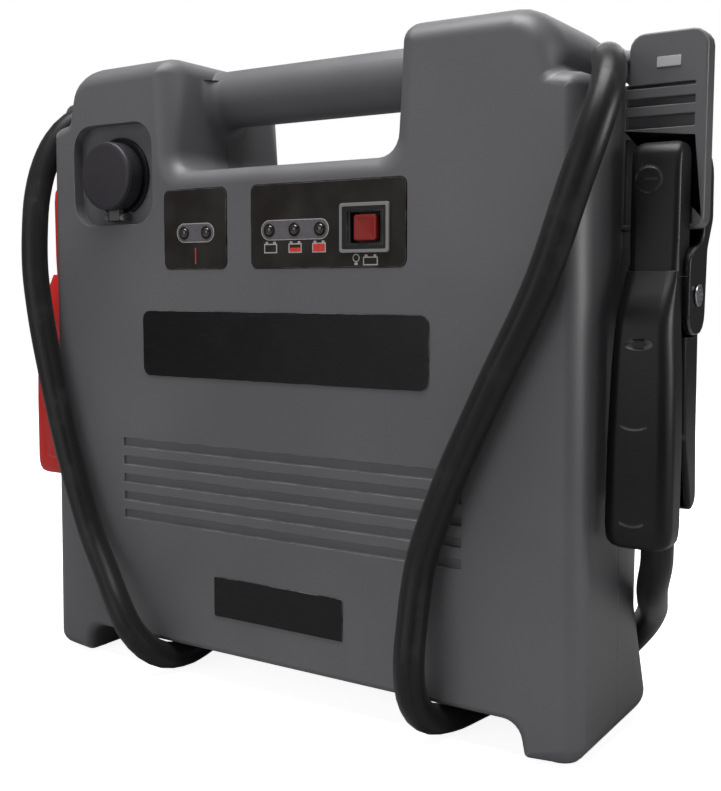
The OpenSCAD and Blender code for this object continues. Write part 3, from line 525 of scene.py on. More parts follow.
def brushed_lines():
    """Drawn or rolled lines that run along one axis of a metal piece."""
    def build(tree, given):
        stretched = add(tree, "Mapping", Vector=object_place(tree), Scale=given["Stretch"]).outputs[0]
        lines = noise(tree, stretched, given["Scale"], 4.0, 0.7)
        stains = noise(tree, object_place(tree), 60.0, 3.0, 0.6)
        return {"Height": lines, "Stain": ramp(tree, stains, 0.35, 0.7)}
    inputs = {"Scale": 900.0, "Stretch": (1.0, 1.0, 0.05)}
    return group("Brushed Lines", inputs, ("Height", "Stain"), build)


def new_material(name):
    """Empty material, its node tree and its principled shader."""
    material = bpy.data.materials.new(name)
    material.use_nodes = True
    return material, material.node_tree, material.node_tree.nodes["Principled BSDF"]


def relief(tree, shader, height, strength, distance):
    made = add(tree, "Bump", Height=height, Strength=strength, Distance=distance * MM)
    tree.links.new(made.outputs[0], shader.inputs["Normal"])


def lighter(shade, amount):
    return tuple(value + (1 - value) * amount for value in shade)


def darker(shade, amount):
    return tuple(value * (1 - amount) for value in shade)


def plastic(name, shade, rough, grain=1400.0, depth=0.04, strength=0.35, wear=0.5, dust=0.12, drift=0.1,
            shine=0.5):
    """Moulded plastic: grain, slow tone drift, rubbed edges and a little dust."""
    material, tree, shader = new_material(name)
    texture = use(tree, moulded_grain(), Scale=grain)
    worn = use(tree, edge_wear(), Amount=wear)["Mask"]
    dusty = use(tree, settled_dust(), Amount=dust)["Mask"]
    base = mix_colour(tree, texture["Drift"], darker(shade, drift), lighter(shade, drift * 0.12))
    rubbed = mix_colour(tree, worn, base, lighter(shade, 0.22))
    dull = mix_colour(tree, dusty, rubbed, paint(168, 165, 160))
    tree.links.new(dull, shader.inputs["Base Color"])
    spread = ramp(tree, texture["Drift"], 0.0, 1.0, rough - 0.05, rough + 0.05)
    tree.links.new(math_node(tree, "ADD", spread, math_node(tree, "MULTIPLY", dusty, 0.3), clamp=True),
                   shader.inputs["Roughness"])
    relief(tree, shader, texture["Height"], strength, depth)
    shader.inputs["Specular IOR Level"].default_value = shine
    return material


def rubber(name, shade, rough=0.5):
    """Cable rubber: extruder lines along the cord, scuffs and a soft sheen."""
    material, tree, shader = new_material(name)
    along = tree.nodes.new("ShaderNodeUVMap").outputs["UV"]
    lines = add(tree, "Mapping", Vector=along, Scale=(26.0, 6.0, 1.0)).outputs[0]
    streak = noise(tree, lines, 1.0, 3.0, 0.6)
    scuffs = ramp(tree, noise(tree, object_place(tree), 55.0, 5.0, 0.62), 0.52, 0.75)
    base = mix_colour(tree, streak, darker(shade, 0.2), lighter(shade, 0.02))
    tree.links.new(mix_colour(tree, math_node(tree, "MULTIPLY", scuffs, 0.12), base, lighter(shade, 0.1)),
                   shader.inputs["Base Color"])
    tree.links.new(ramp(tree, scuffs, 0.0, 1.0, rough - 0.06, rough + 0.16), shader.inputs["Roughness"])
    relief(tree, shader, math_node(tree, "ADD", streak, noise(tree, object_place(tree), 1100.0)), 0.25, 0.05)
    shader.inputs["Sheen Weight"].default_value = 0.04
    shader.inputs["Specular IOR Level"].default_value = 0.2
    return material


def metal(name, shade, rough, stretch=(1.0, 1.0, 0.05), tarnish=0.3):
    """Plated or drawn metal: lines along one axis, stains and rubbed edges."""
    material, tree, shader = new_material(name)
    drawn = use(tree, brushed_lines(), Stretch=stretch)
    worn = use(tree, edge_wear(), Amount=0.6)["Mask"]
    stained = math_node(tree, "MULTIPLY", drawn["Stain"], tarnish)
    base = mix_colour(tree, stained, shade, darker(shade, 0.45))
    tree.links.new(mix_colour(tree, worn, base, lighter(shade, 0.3)), shader.inputs["Base Color"])
    spread = ramp(tree, drawn["Height"], 0.3, 0.7, rough - 0.07, rough + 0.1)
    tree.links.new(math_node(tree, "ADD", spread, math_node(tree, "MULTIPLY", stained, 0.2), clamp=True),
                   shader.inputs["Roughness"])
    shader.inputs["Metallic"].default_value = 1.0
    relief(tree, shader, drawn["Height"], 0.2, 0.02)
    return material


def gloss_plate(name, shade, rough=0.3):
    """Smooth printed or moulded plate with hair scratches."""
    material, tree, shader = new_material(name)
    hairs = use(tree, fine_scratches(), Scale=2600.0)["Mask"]
    worn = use(tree, edge_wear(), Amount=0.7)["Mask"]
    smears = ramp(tree, noise(tree, object_place(tree), 26.0, 3.0, 0.6), 0.35, 0.7)
    base = mix_colour(tree, math_node(tree, "MULTIPLY", hairs, 0.12), shade, lighter(shade, 0.08))
    tree.links.new(mix_colour(tree, worn, base, lighter(shade, 0.3)), shader.inputs["Base Color"])
    spread = ramp(tree, smears, 0.0, 1.0, rough, rough + 0.12)
    tree.links.new(math_node(tree, "ADD", spread, math_node(tree, "MULTIPLY", hairs, 0.12), clamp=True),
                   shader.inputs["Roughness"])
    relief(tree, shader, noise(tree, object_place(tree), 420.0, 2.0), 0.12, 0.03)
    shader.inputs["Specular IOR Level"].default_value = 0.25
    return material


def film(name, shade):
    """Matt screen-printed film with a fine tooth."""
    material, tree, shader = new_material(name)
    tooth = noise(tree, object_place(tree), 2600.0, 2.0, 0.5)
    slow = ramp(tree, noise(tree, object_place(tree), 40.0, 3.0), 0.3, 0.7)
    worn = use(tree, edge_wear(), Amount=0.8)["Mask"]
    base = mix_colour(tree, slow, darker(shade, 0.12), lighter(shade, 0.015))
    tree.links.new(mix_colour(tree, worn, base, lighter(shade, 0.25)), shader.inputs["Base Color"])
    tree.links.new(ramp(tree, tooth, 0.3, 0.7, 0.42, 0.54), shader.inputs["Roughness"])
    relief(tree, shader, tooth, 0.18, 0.02)
    shader.inputs["Specular IOR Level"].default_value = 0.2
    return material


def ink(name, shade):
    """Screen-printed ink, a little uneven in its cover."""
    material, tree, shader = new_material(name)
    cover = ramp(tree, noise(tree, object_place(tree), 900.0, 4.0, 0.65), 0.25, 0.6)
    tree.links.new(mix_colour(tree, cover, darker(shade, 0.3), shade), shader.inputs["Base Color"])
    tree.links.new(ramp(tree, cover, 0.0, 1.0, 0.62, 0.46), shader.inputs["Roughness"])
    relief(tree, shader, cover, 0.15, 0.02)
    return material


def lamp_lens(name):
    """Smoked lens of an unlit lamp, with a painted sheen that makes it lighter towards its rim."""
    material, tree, shader = new_material(name)
    # Painted sheen: the lens turns lighter (72, 64, 56) where its surface turns away from the camera,
    # standing in for its reflection
    painted_rim_sheen = add(tree, "LayerWeight", Blend=0.35).outputs["Facing"]
    murk = noise(tree, object_place(tree), 700.0, 3.0)
    deep = mix_colour(tree, murk, paint(14, 12, 11), paint(36, 30, 26))
    tree.links.new(mix_colour(tree, painted_rim_sheen, deep, paint(72, 64, 56)), shader.inputs["Base Color"])
    tree.links.new(ramp(tree, murk, 0.3, 0.7, 0.1, 0.2), shader.inputs["Roughness"])
    shader.inputs["Coat Weight"].default_value = 0.8
    shader.inputs["Coat Roughness"].default_value = 0.06
    return material


def circuit_board(name):
    """Solder mask with copper tracks showing through it."""
    material, tree, shader = new_material(name)
    mask, darker_mask, track = [(*paint(*shade), 1) for shade in ((24, 92, 50), (20, 80, 44), (52, 128, 72))]
    blocks = add(tree, "TexBrick", {"offset": 0.5}, Vector=object_place(tree), Scale=90.0, Mortar_Size=0.06,
                 Color1=mask, Color2=darker_mask, Mortar=track)
    tree.links.new(blocks.outputs["Color"], shader.inputs["Base Color"])
    tree.links.new(ramp(tree, blocks.outputs["Fac"], 0.0, 1.0, 0.35, 0.5), shader.inputs["Roughness"])
    relief(tree, shader, blocks.outputs["Fac"], 0.3, 0.04)
    return material


def foam(name, shade):
    """Open-celled foam."""
    material, tree, shader = new_material(name)
    cells = add(tree, "TexVoronoi", Vector=object_place(tree), Scale=420.0).outputs["Distance"]
    tree.links.new(mix_colour(tree, ramp(tree, cells, 0.1, 0.6), darker(shade, 0.6), lighter(shade, 0.05)),
                   shader.inputs["Base Color"])
    tree.links.new(ramp(tree, cells, 0.0, 1.0, 0.85, 1.0), shader.inputs["Roughness"])
    relief(tree, shader, cells, 0.9, 0.6)
    return material


def cast_metal(name, shade):
    """Sand-cast aluminium with a dull skin."""
    material, tree, shader = new_material(name)
    skin = noise(tree, object_place(tree), 520.0, 4.0, 0.6)
    tree.links.new(mix_colour(tree, skin, darker(shade, 0.25), lighter(shade, 0.1)),
                   shader.inputs["Base Color"])
    tree.links.new(ramp(tree, skin, 0.3, 0.7, 0.42, 0.62), shader.inputs["Roughness"])
    shader.inputs["Metallic"].default_value = 0.9
    relief(tree, shader, skin, 0.35, 0.12)
    return material


MADE = {}  # materials by slot, filled by finish


def finish(slot):
    """Material of one of the pack's material slots, made when it is first asked for."""
    shades = bpy.context.scene.pack_colours
    recipes = {
        "case_grey": lambda: plastic("Case Plastic", shades.case_grey, 0.5, dust=0.14, drift=0.12),
        "pad_rubber": lambda: rubber("Foot Rubber", paint(30, 30, 30), 0.7),
        "cable_rubber": lambda: rubber("Cable Rubber", shades.cable_black, 0.42),
        "lead_red": lambda: rubber("Red Lead", paint(150, 26, 22), 0.45),
        "zinc_screw": lambda: metal("Zinc Screw", paint(176, 176, 180), 0.35, (1.0, 0.1, 1.0)),
        "panel_dark": lambda: film("Panel Film", shades.panel_film),
        "plate_black": lambda: gloss_plate("Black Plate", paint(13, 13, 13), 0.32),
        "lamp_lens": lambda: lamp_lens("Lamp Lens"),
        "board_green": lambda: circuit_board("Lamp Board"),
        "plate_pale": lambda: gloss_plate("Pale Plate", paint(190, 187, 191), 0.4),
        "switch_grey": lambda: plastic("Switch Frame", paint(132, 131, 132), 0.42, 1800.0, dust=0.05),
        "switch_black": lambda: plastic("Black Plastic", paint(12, 12, 13), 0.36, 1800.0,
                                        dust=0.03, shine=0.25),
        "switch_red": lambda: plastic("Button Plastic", shades.button_red, 0.34, 2200.0, 0.02, 0.2,
                                      dust=0.02, shine=0.25),
        "barrel_steel": lambda: metal("Plated Steel", paint(178, 178, 182), 0.25, (1.0, 0.06, 1.0), 0.2),
        "contact_brass": lambda: metal("Bare Brass", paint(198, 164, 92), 0.3),
        "cap_grey": lambda: plastic("Cap Plastic", shades.cap_grey, 0.46, 1700.0,
                                    dust=0.05, wear=0.8, shine=0.35),
        "battery_black": lambda: plastic("Battery Case", paint(38, 38, 41), 0.45, 800.0, 0.08),
        "terminal_metal": lambda: metal("Tinned Terminal", paint(190, 190, 192), 0.42),
        "foam_grey": lambda: foam("Foam Pad", paint(70, 70, 72)),
        "module_metal": lambda: cast_metal("Charger Case", paint(170, 172, 174)),
        "fuse_amber": lambda: gloss_plate("Fuse Body", paint(186, 150, 52), 0.25),
        "clamp_black": lambda: plastic("Black Clamp", shades.clamp_black, 0.36, 1100.0, 0.05, 0.3,
                                       dust=0.03, shine=0.22),
        "clamp_red": lambda: plastic("Red Clamp", shades.clamp_red, 0.38, 1100.0, 0.05, 0.3,
                                     dust=0.03, shine=0.3),
        "jaw_copper": lambda: metal("Copper Jaw", paint(184, 116, 82), 0.34, (0.08, 1.0, 1.0), 0.5),
        "spring_steel": lambda: metal("Spring Steel", paint(128, 128, 132), 0.32),
        "print_white": lambda: ink("White Print", shades.print_white),
        "print_red": lambda: ink("Red Print", shades.print_red),
        "print_grey": lambda: ink("Grey Print", shades.print_grey),
    }
    if slot not in MADE:
        MADE[slot] = recipes[slot]()
    return MADE[slot]


# ---- Where things are ----

def low(node):
    """Corner of a CAD node's box with the least x, y and z, in millimetres."""
    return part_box(node)[0] / MM


def high(node):
    """Corner of a CAD node's box with the greatest x, y and z, in millimetres."""
    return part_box(node)[1] / MM


def middle(node):
    return (low(node) + high(node)) / 2


CAMERA_PLACE = Vector((0.346, -0.5027, 0.2201))
CAMERA_RIGHT = Vector((0.8398, 0.5430, 0.0))
CAMERA_UP = Vector((-0.0542, 0.0838, 0.9950))
CAMERA_LENS = 50.52
CAMERA_SENSOR = 36
CAMERA_NEAR = 0.01

# Soft studio lights, turned towards the middle of the pack: name, place, size in metres, power in watts
LIGHTS = (
    ("top_light", (0.0, -0.2, 1.5), 0.9, 27),
    ("front_light", (-0.4, -1.7, 0.5), 1.2, 6),
    ("side_light", (1.5, -0.3, 0.2), 0.7, 2),
    ("rim_light", (1.3, 0.25, 0.45), 0.5, 9),
    ("back_light", (-0.3, 1.4, 1.0), 1.0, 6),
)
PACK_MIDDLE = Vector((0, 0, 0.16))
FLOOR_SIZE = 8
FLOOR_DROP = 0.0002

# Routes in millimetres on the right side; the left cable mirrors its own
REAR_RUN = [
    (118, 44, 83), (118, 44, 95), (118.5, 48, 112), (120, 56.5, 130), (123.5, 63.3, 148), (131, 65, 172),
    (147, 64.5, 235), (154, 63.8, 270), (158.5, 63, 290), (160, 59, 306.5), (160, 49.5, 317),
    (159, 34, 323.5), (158.2, 12, 322),
]
RIGHT_FRONT = [
    (160, -6, 321.5), (164.5, -20, 319.3), (170.5, -34, 312.5), (173.5, -46, 300.5), (171.5, -54, 284),
    (165, -57.5, 262), (151, -57.7, 222), (126, -57.7, 171), (103, -57.8, 121), (92, -58.5, 88),
    (90.5, -63, 62), (91, -66.8, 40), (91.3, -64.7, 27.5), (91.6, -58.3, 17.5), (93, -48.7, 11),
    (96, -37, 8.6),
]
LEFT_FRONT = [
    (160, -6, 321.5), (163.8, -16.5, 320.4), (169, -26, 315.2), (173, -34.5, 305), (174.9, -42, 291),
    (174.7, -48.5, 273), (172.5, -53.3, 251), (169.4, -56.5, 228), (165, -57.7, 205), (155.8, -57.7, 165),
    (141, -57.8, 115), (124, -59, 74), (109.5, -62.5, 55), (97.5, -66, 40.5), (89, -65.5, 28),
    (83.5, -59.5, 17.8), (80, -49.5, 11), (78, -37, 8.6),
]
RIGHT_UNDER = [(101, -12, 8.5), (106, 14, 8.5), (117, 40, 8.6)]
LEFT_UNDER = [(80, -18, 8.5), (88, 4, 8.5), (101, 25, 8.5), (116, 43, 8.6)]
CLAMP_RUN = [
    (130, 58, 11), (144, 67.5, 21), (157.5, 65.5, 36.5), (167.5, 52, 51), (174.5, 31, 63), (181, 10, 76),
    (188, -6, 94), (190, -14, 112), (188, -19.5, 142), (186.5, -21, 158), (186.5, -21, 168),
]


def cable_path(side):
    """Smooth path of the cable on one side, in metres."""
    front, under = (RIGHT_FRONT, RIGHT_UNDER) if side == "right" else (LEFT_FRONT, LEFT_UNDER)
    flip = 1 if side == "right" else -1
    route = [Vector((flip * x, y, z)) * MM for x, y, z in REAR_RUN + front + under + CLAMP_RUN]
    return smooth_path(route, bpy.context.scene.pack_sizes.cable_step)


# ---- Operators: one for each piece or group of like pieces ----

class PACK_OT_camera(bpy.types.Operator):
    """Set up the camera"""

    bl_idname = "jumppack.camera"
    bl_label = "Camera"

    def execute(self, context):
        bpy.ops.object.camera_add()
        camera = bpy.context.object
        camera.name = "view_camera"
        back = CAMERA_RIGHT.cross(CAMERA_UP)
        turn = Matrix((CAMERA_RIGHT, CAMERA_UP, back)).transposed().to_4x4()
        camera.matrix_world = Matrix.Translation(CAMERA_PLACE) @ turn
        camera.data.lens = CAMERA_LENS
        camera.data.sensor_width = CAMERA_SENSOR
        camera.data.clip_start = CAMERA_NEAR
        context.scene.camera = camera
        return {"FINISHED"}


class PACK_OT_boots(bpy.types.Operator):
    """Turn the ribbed boots that the cables come out of"""

    bl_idname = "jumppack.boots"
    bl_label = "Cable Boots"

    def execute(self, context):
        ribs = context.scene.pack_sizes.boot_ribs
        foot, top = low("gland_right").z, high("gland_right").z
        centre = middle("gland_right")
        neck, collar, mouth = 8.9, 10.5, 8.4    # radii in the case's wall, over it and at the top
        wall, shoulder = foot + 3, foot + 6     # heights of the wall's outer face and of the first rib
        widest, taper, groove = 10.0, 1.5, 1.1  # radius of the first rib, loss by the last, depth between
        pitch = (top - shoulder) / ribs

        def ring(height, radius):
            return disc(height, radius, centre.x, centre.y)

        levels = [ring(foot, neck), ring(wall, neck), ring(wall, collar - 0.3), ring(wall + 0.4, collar),
                  ring(shoulder - 0.4, collar), ring(shoulder, collar - 0.4)]
        for k in range(ribs):
            start = shoulder + k * pitch
            outer = widest - taper * (k + 0.5) / ribs
            levels += [ring(start + 0.12 * pitch, outer - groove), ring(start + 0.38 * pitch, outer - groove),
                       ring(start + 0.52 * pitch, outer - 0.15), ring(start + 0.9 * pitch, outer)]
        levels.append(ring(top, mouth))
        boot = softened(stacked("boot_right", levels, sides=40), 0.2 * MM, smooth=40)
        other = mirrored(boot, "boot_left")
        finished(boot, "case", "cable_rubber", "gland_right")
        finished(other, "case", "cable_rubber", "gland_left")
        return {"FINISHED"}


class PACK_OT_cables(bpy.types.Operator):
    """Lay both clamp cables along their routes, and coat the inner leads and the foot pads"""

    bl_idname = "jumppack.cables"
    bl_label = "Cables"

    def execute(self, context):
        width = context.scene.pack_sizes.cable_width
        for side in ("right", "left"):
            cable = tube(f"cable_{side}_jacket", cable_path(side), width / 2, 24)
            finished(cable, "case", "cable_rubber", f"cable_{side}")
        coated("lead_right", "cable_rubber")
        coated("foot_pads", "pad_rubber")
        coated("lead_left", "lead_red")
        return {"FINISHED"}


class PACK_OT_declare_cords(bpy.types.Operator):
    """Placeholder step that does nothing; no cable's length or what is on it is stated."""

    bl_idname = "jumppack.declare_cords"
    bl_label = "Declare Cables"

    def execute(self, context):
        return {"FINISHED"}


class PACK_OT_case(bpy.types.Operator):
    """Finish the two shells and the ears"""

    bl_idname = "jumppack.case"
    bl_label = "Case"

    def execute(self, context):
        for node in ("front_shell", "rear_shell", "ear_right", "ear_left"):
            skinned(node, "case_grey", context.scene.pack_sizes.case_edge)
        return {"FINISHED"}


class PACK_OT_trim(bpy.types.Operator):
    """Finish the screws and the ears' pale plates"""

    bl_idname = "jumppack.trim"
    bl_label = "Screws And Ear Plates"

    def execute(self, context):
        skinned("case_screws", "zinc_screw", context.scene.pack_sizes.metal_edge)
        skinned("ear_plates", "plate_pale", context.scene.pack_sizes.trim_edge)
        return {"FINISHED"}


class PACK_OT_panels(bpy.types.Operator):
    """Finish the two status panels, the two bare plates and the lamp board"""

    bl_idname = "jumppack.panels"
    bl_label = "Panels And Plates"

    def execute(self, context):
        for node, slot in (("charging_panel", "panel_dark"), ("battery_panel", "panel_dark"),
                           ("front_plate", "plate_black"), ("lower_plate", "plate_black")):
            skinned(node, slot, context.scene.pack_sizes.trim_edge)
        coated("lamp_board", "board_green")
        return {"FINISHED"}


# Printed marks. A mark of a higher layer stands a little higher and covers those of lower layers.
LINE_LAYER, INNER_LAYER, BAND_LAYER, CHARGE_LAYER = 1, 1.4, 1.6, 1.8
PRINT_SUNK = 0.05      # how far a mark's back is below the panel's face
SIGN_LINE = 0.6        # width of a battery sign's line
POST_HEIGHT = 1        # of a battery sign's two posts
POST_HALF = 0.8        # half the width of a post
POST_PLACE = 0.3       # of a post from the sign's middle, as a share of its width
BULB_RADIUS = 2.0
BULB_LINE = 0.5
BAND_HALF = 4.7        # half the height of the grey band round a row of lamps
BAND_REACH = 2.3       # of the band past the row's end lamps
BAND_LINE = 0.4        # width of the white line round the band
SIGN_SIZE = (8.2, 5.8)
SIGN_DROP = 8.7        # from the row of lamps down to the middle of the signs under it
TEST_SIGN_SIZE = (8.4, 5.2)
TEST_SIGN_DROP = 15.6  # from the row of lamps down to the signs under the switch
DIVIDER_HALF = 0.35
DIVIDER_DROPS = (16.5, 8)


def printed(name, x0, x1, z0, z1, layer, corner=0.0):
    """Thin printed mark on the panels' front, in millimetres."""
    base = -low("battery_panel").y
    thick = bpy.context.scene.pack_sizes.print_height / MM
    levels = plate_levels(x0, x1, z0, z1, base - PRINT_SUNK, base + thick * layer, thick / 2)
    return to_front(stacked(name, levels, corner))


def battery_sign(name, x, z, size, fill):
    """Outline of a battery with two posts, by colour; fill is the share of it that is full."""
    width, height = size
    x0, x1, z0, z1 = x - width / 2, x + width / 2, z - height / 2, z + height / 2 - POST_HEIGHT
    inner = (x0 + SIGN_LINE, x1 - SIGN_LINE, z0 + SIGN_LINE)
    pieces = {"white": [printed(name, x0, x1, z0, z1, LINE_LAYER)],
              "dark": [printed(name + "_inner", *inner, z1 - SIGN_LINE, INNER_LAYER)], "red": []}
    for side in (-1, 1):
        post = x + side * width * POST_PLACE
        pieces["white"].append(printed(name + "_post", post - POST_HALF, post + POST_HALF,
                                       z1 - 0.1, z1 + POST_HEIGHT, LINE_LAYER))
    if fill:
        top = z0 + SIGN_LINE + (z1 - z0 - 2 * SIGN_LINE) * fill
        pieces["red"].append(printed(name + "_charge", *inner, top, CHARGE_LAYER))
    return pieces


def bulb_sign(name, x, z):
    """Outline of a light bulb over its base, by colour."""
    base = -low("battery_panel").y
    thick = bpy.context.scene.pack_sizes.print_height / MM

    def glass(label, radius, layer):
        levels = [disc(height, radius, x, z + 1) for height in (base - PRINT_SUNK, base + thick * layer)]
        return stacked(label, levels, sides=24)

    rim = glass(name, BULB_RADIUS, LINE_LAYER)
    dark = glass(name + "_inner", BULB_RADIUS - BULB_LINE, INNER_LAYER)
    foot = printed(name + "_foot", x - 0.9, x + 0.9, z - 2.4, z - 1.2, LINE_LAYER)
    return {"white": [to_front(rim), foot], "dark": [to_front(dark)], "red": []}


class PACK_OT_print(bpy.types.Operator):
    """Print the bands round the lamps, the battery signs and the divider on the panels"""

    bl_idname = "jumppack.print"
    bl_label = "Panel Print"

    def execute(self, context):
        charge, status = middle("charging_lamps"), middle("battery_lamps")
        button = middle("switch_button").x
        z = charge.z
        marks = {"white": [], "dark": [], "red": [], "grey": []}
        for name, row in (("charge_band", "charging_lamps"), ("status_band", "battery_lamps")):
            x0, x1 = low(row).x - BAND_REACH, high(row).x + BAND_REACH
            half = BAND_HALF + BAND_LINE
            marks["white"].append(printed(name + "_line", x0 - BAND_LINE, x1 + BAND_LINE, z - half, z + half,
                                          LINE_LAYER, half - 0.05))
            marks["grey"].append(printed(name, x0, x1, z - BAND_HALF, z + BAND_HALF,
                                         BAND_LAYER, BAND_HALF - 0.05))
        signs = [battery_sign("empty_sign", status.x - 15, z - SIGN_DROP, SIGN_SIZE, 0),
                 battery_sign("half_sign", status.x + 0.4, z - SIGN_DROP, SIGN_SIZE, 0.55),
                 battery_sign("full_sign", status.x + 15, z - SIGN_DROP, SIGN_SIZE, 1),
                 battery_sign("test_sign", button + 2.6, z - TEST_SIGN_DROP, TEST_SIGN_SIZE, 0),
                 bulb_sign("lamp_sign", button - 5.6, z - TEST_SIGN_DROP)]
        for sign in signs:
            for ink_name, pieces in sign.items():
                marks[ink_name] += pieces
        marks["red"].append(printed("divider", charge.x - DIVIDER_HALF, charge.x + DIVIDER_HALF,
                                    z - DIVIDER_DROPS[0], z - DIVIDER_DROPS[1], LINE_LAYER))
        inks = {"white": "print_white", "dark": "panel_dark", "red": "print_red", "grey": "print_grey"}
        for ink_name, pieces in marks.items():
            whole = softened(joined("print_" + ink_name, *pieces), 0)
            finished(whole, "case", "panel_dark", ink_slot=inks[ink_name])
        return {"FINISHED"}


class PACK_OT_lamps(bpy.types.Operator):
    """Turn one domed lamp and its ring, and set a pair at each lamp's place"""

    bl_idname = "jumppack.lamps"
    bl_label = "Lamps"

    def execute(self, context):
        lo, hi = low("charging_lamps"), high("charging_lamps")
        z = middle("charging_lamps").z
        face, back, tip = -low("battery_panel").y, -hi.y, -lo.y
        radius = (hi.z - lo.z) / 2
        wall = face + 0.2  # height at which the lens starts to round over
        lens_levels = [disc(back, radius), disc(wall, radius)]
        for turn in (math.radians(angle) for angle in (15, 30, 45, 60, 75, 88)):
            lens_levels.append(disc(wall + (tip - wall) * math.sin(turn), radius * math.cos(turn) + 0.02))
        lens = softened(to_front(stacked("lens", lens_levels, sides=32)), 0, smooth=50)
        ring_levels = [disc(face + height, radius + reach) for height, reach in
                       ((-0.1, 0.9), (0.35, 0.9), (0.6, 0.65), (0.6, 0.35), (0.3, 0.1))]
        ring = softened(to_front(stacked("lamp_ring", ring_levels, sides=32)), 0, smooth=50)
        rows = {"charging_lamps": [lo.x + radius, hi.x - radius],
                "battery_lamps": [low("battery_lamps").x + radius, middle("battery_lamps").x,
                                  high("battery_lamps").x - radius]}
        rings = []
        for node, columns in rows.items():
            lenses = [copied(lens, "lens_copy", (x * MM, 0, z * MM)) for x in columns]
            rings += [copied(ring, "ring_copy", (x * MM, 0, z * MM)) for x in columns]
            finished(joined(node + "_lens", *lenses), "case", "lamp_lens", node)
        finished(joined("lamp_rings", *rings), "case", "switch_black")
        only(lens, ring)
        bpy.ops.object.delete()
        return {"FINISHED"}


class PACK_OT_switch(bpy.types.Operator):
    """Finish the test switch and shape its rim and its dished button"""

    bl_idname = "jumppack.switch"
    bl_label = "Test Switch"

    def execute(self, context):
        edge = context.scene.pack_sizes.trim_edge
        skinned("switch_bezel", "switch_black", edge * 1.4)
        self.rim()
        skinned("switch_body", "switch_black", edge)
        self.button()
        return {"FINISHED"}

    def rim(self):
        """Grey rim round the bezel's front."""
        lo, hi = low("switch_bezel"), high("switch_bezel")
        cover, width = 0.15, 1.5  # how far the rim reaches past the bezel, and how much of its face it covers
        top = -lo.y
        outer = (lo.x - cover, hi.x + cover, lo.z - cover, hi.z + cover)
        inner = (lo.x + width, hi.x - width, lo.z + width, hi.z - width)
        rim = stacked("switch_rim", plate_levels(*outer, top - 1.1, top + cover, 0.3), 1.4)
        hole = stacked("rim_cutter", [(top - 2, *inner), (top + 1, *inner)], 0.8)
        softened(to_front(cut(rim, hole)), 0)
        finished(rim, "case", "switch_grey")

    def button(self):
        """Square button on a narrower stem, with rounded edges and a dished face."""
        lo, hi = low("switch_button"), high("switch_button")
        face, back = -lo.y, -hi.y
        stem, depth = 2.4, 3.3  # how far the stem is inside the cap, and the cap's depth
        dish = ((0.5, 0), (0.15, 0.15), (0, 0.5), (0, 1.2), (0.15, 1.9), (0.3, 3.4), (0.36, 5.4))
        levels = [(height, lo.x + inset, hi.x - inset, lo.z + inset, hi.z - inset) for height, inset in
                  ((back, stem), (face - depth, stem), (face - depth, 0),
                   *((face - drop, inset) for drop, inset in dish))]
        button = softened(to_front(stacked("button_cap", levels, 0.8)), 0, smooth=30)
        finished(button, "test_button", "switch_red", "switch_button")


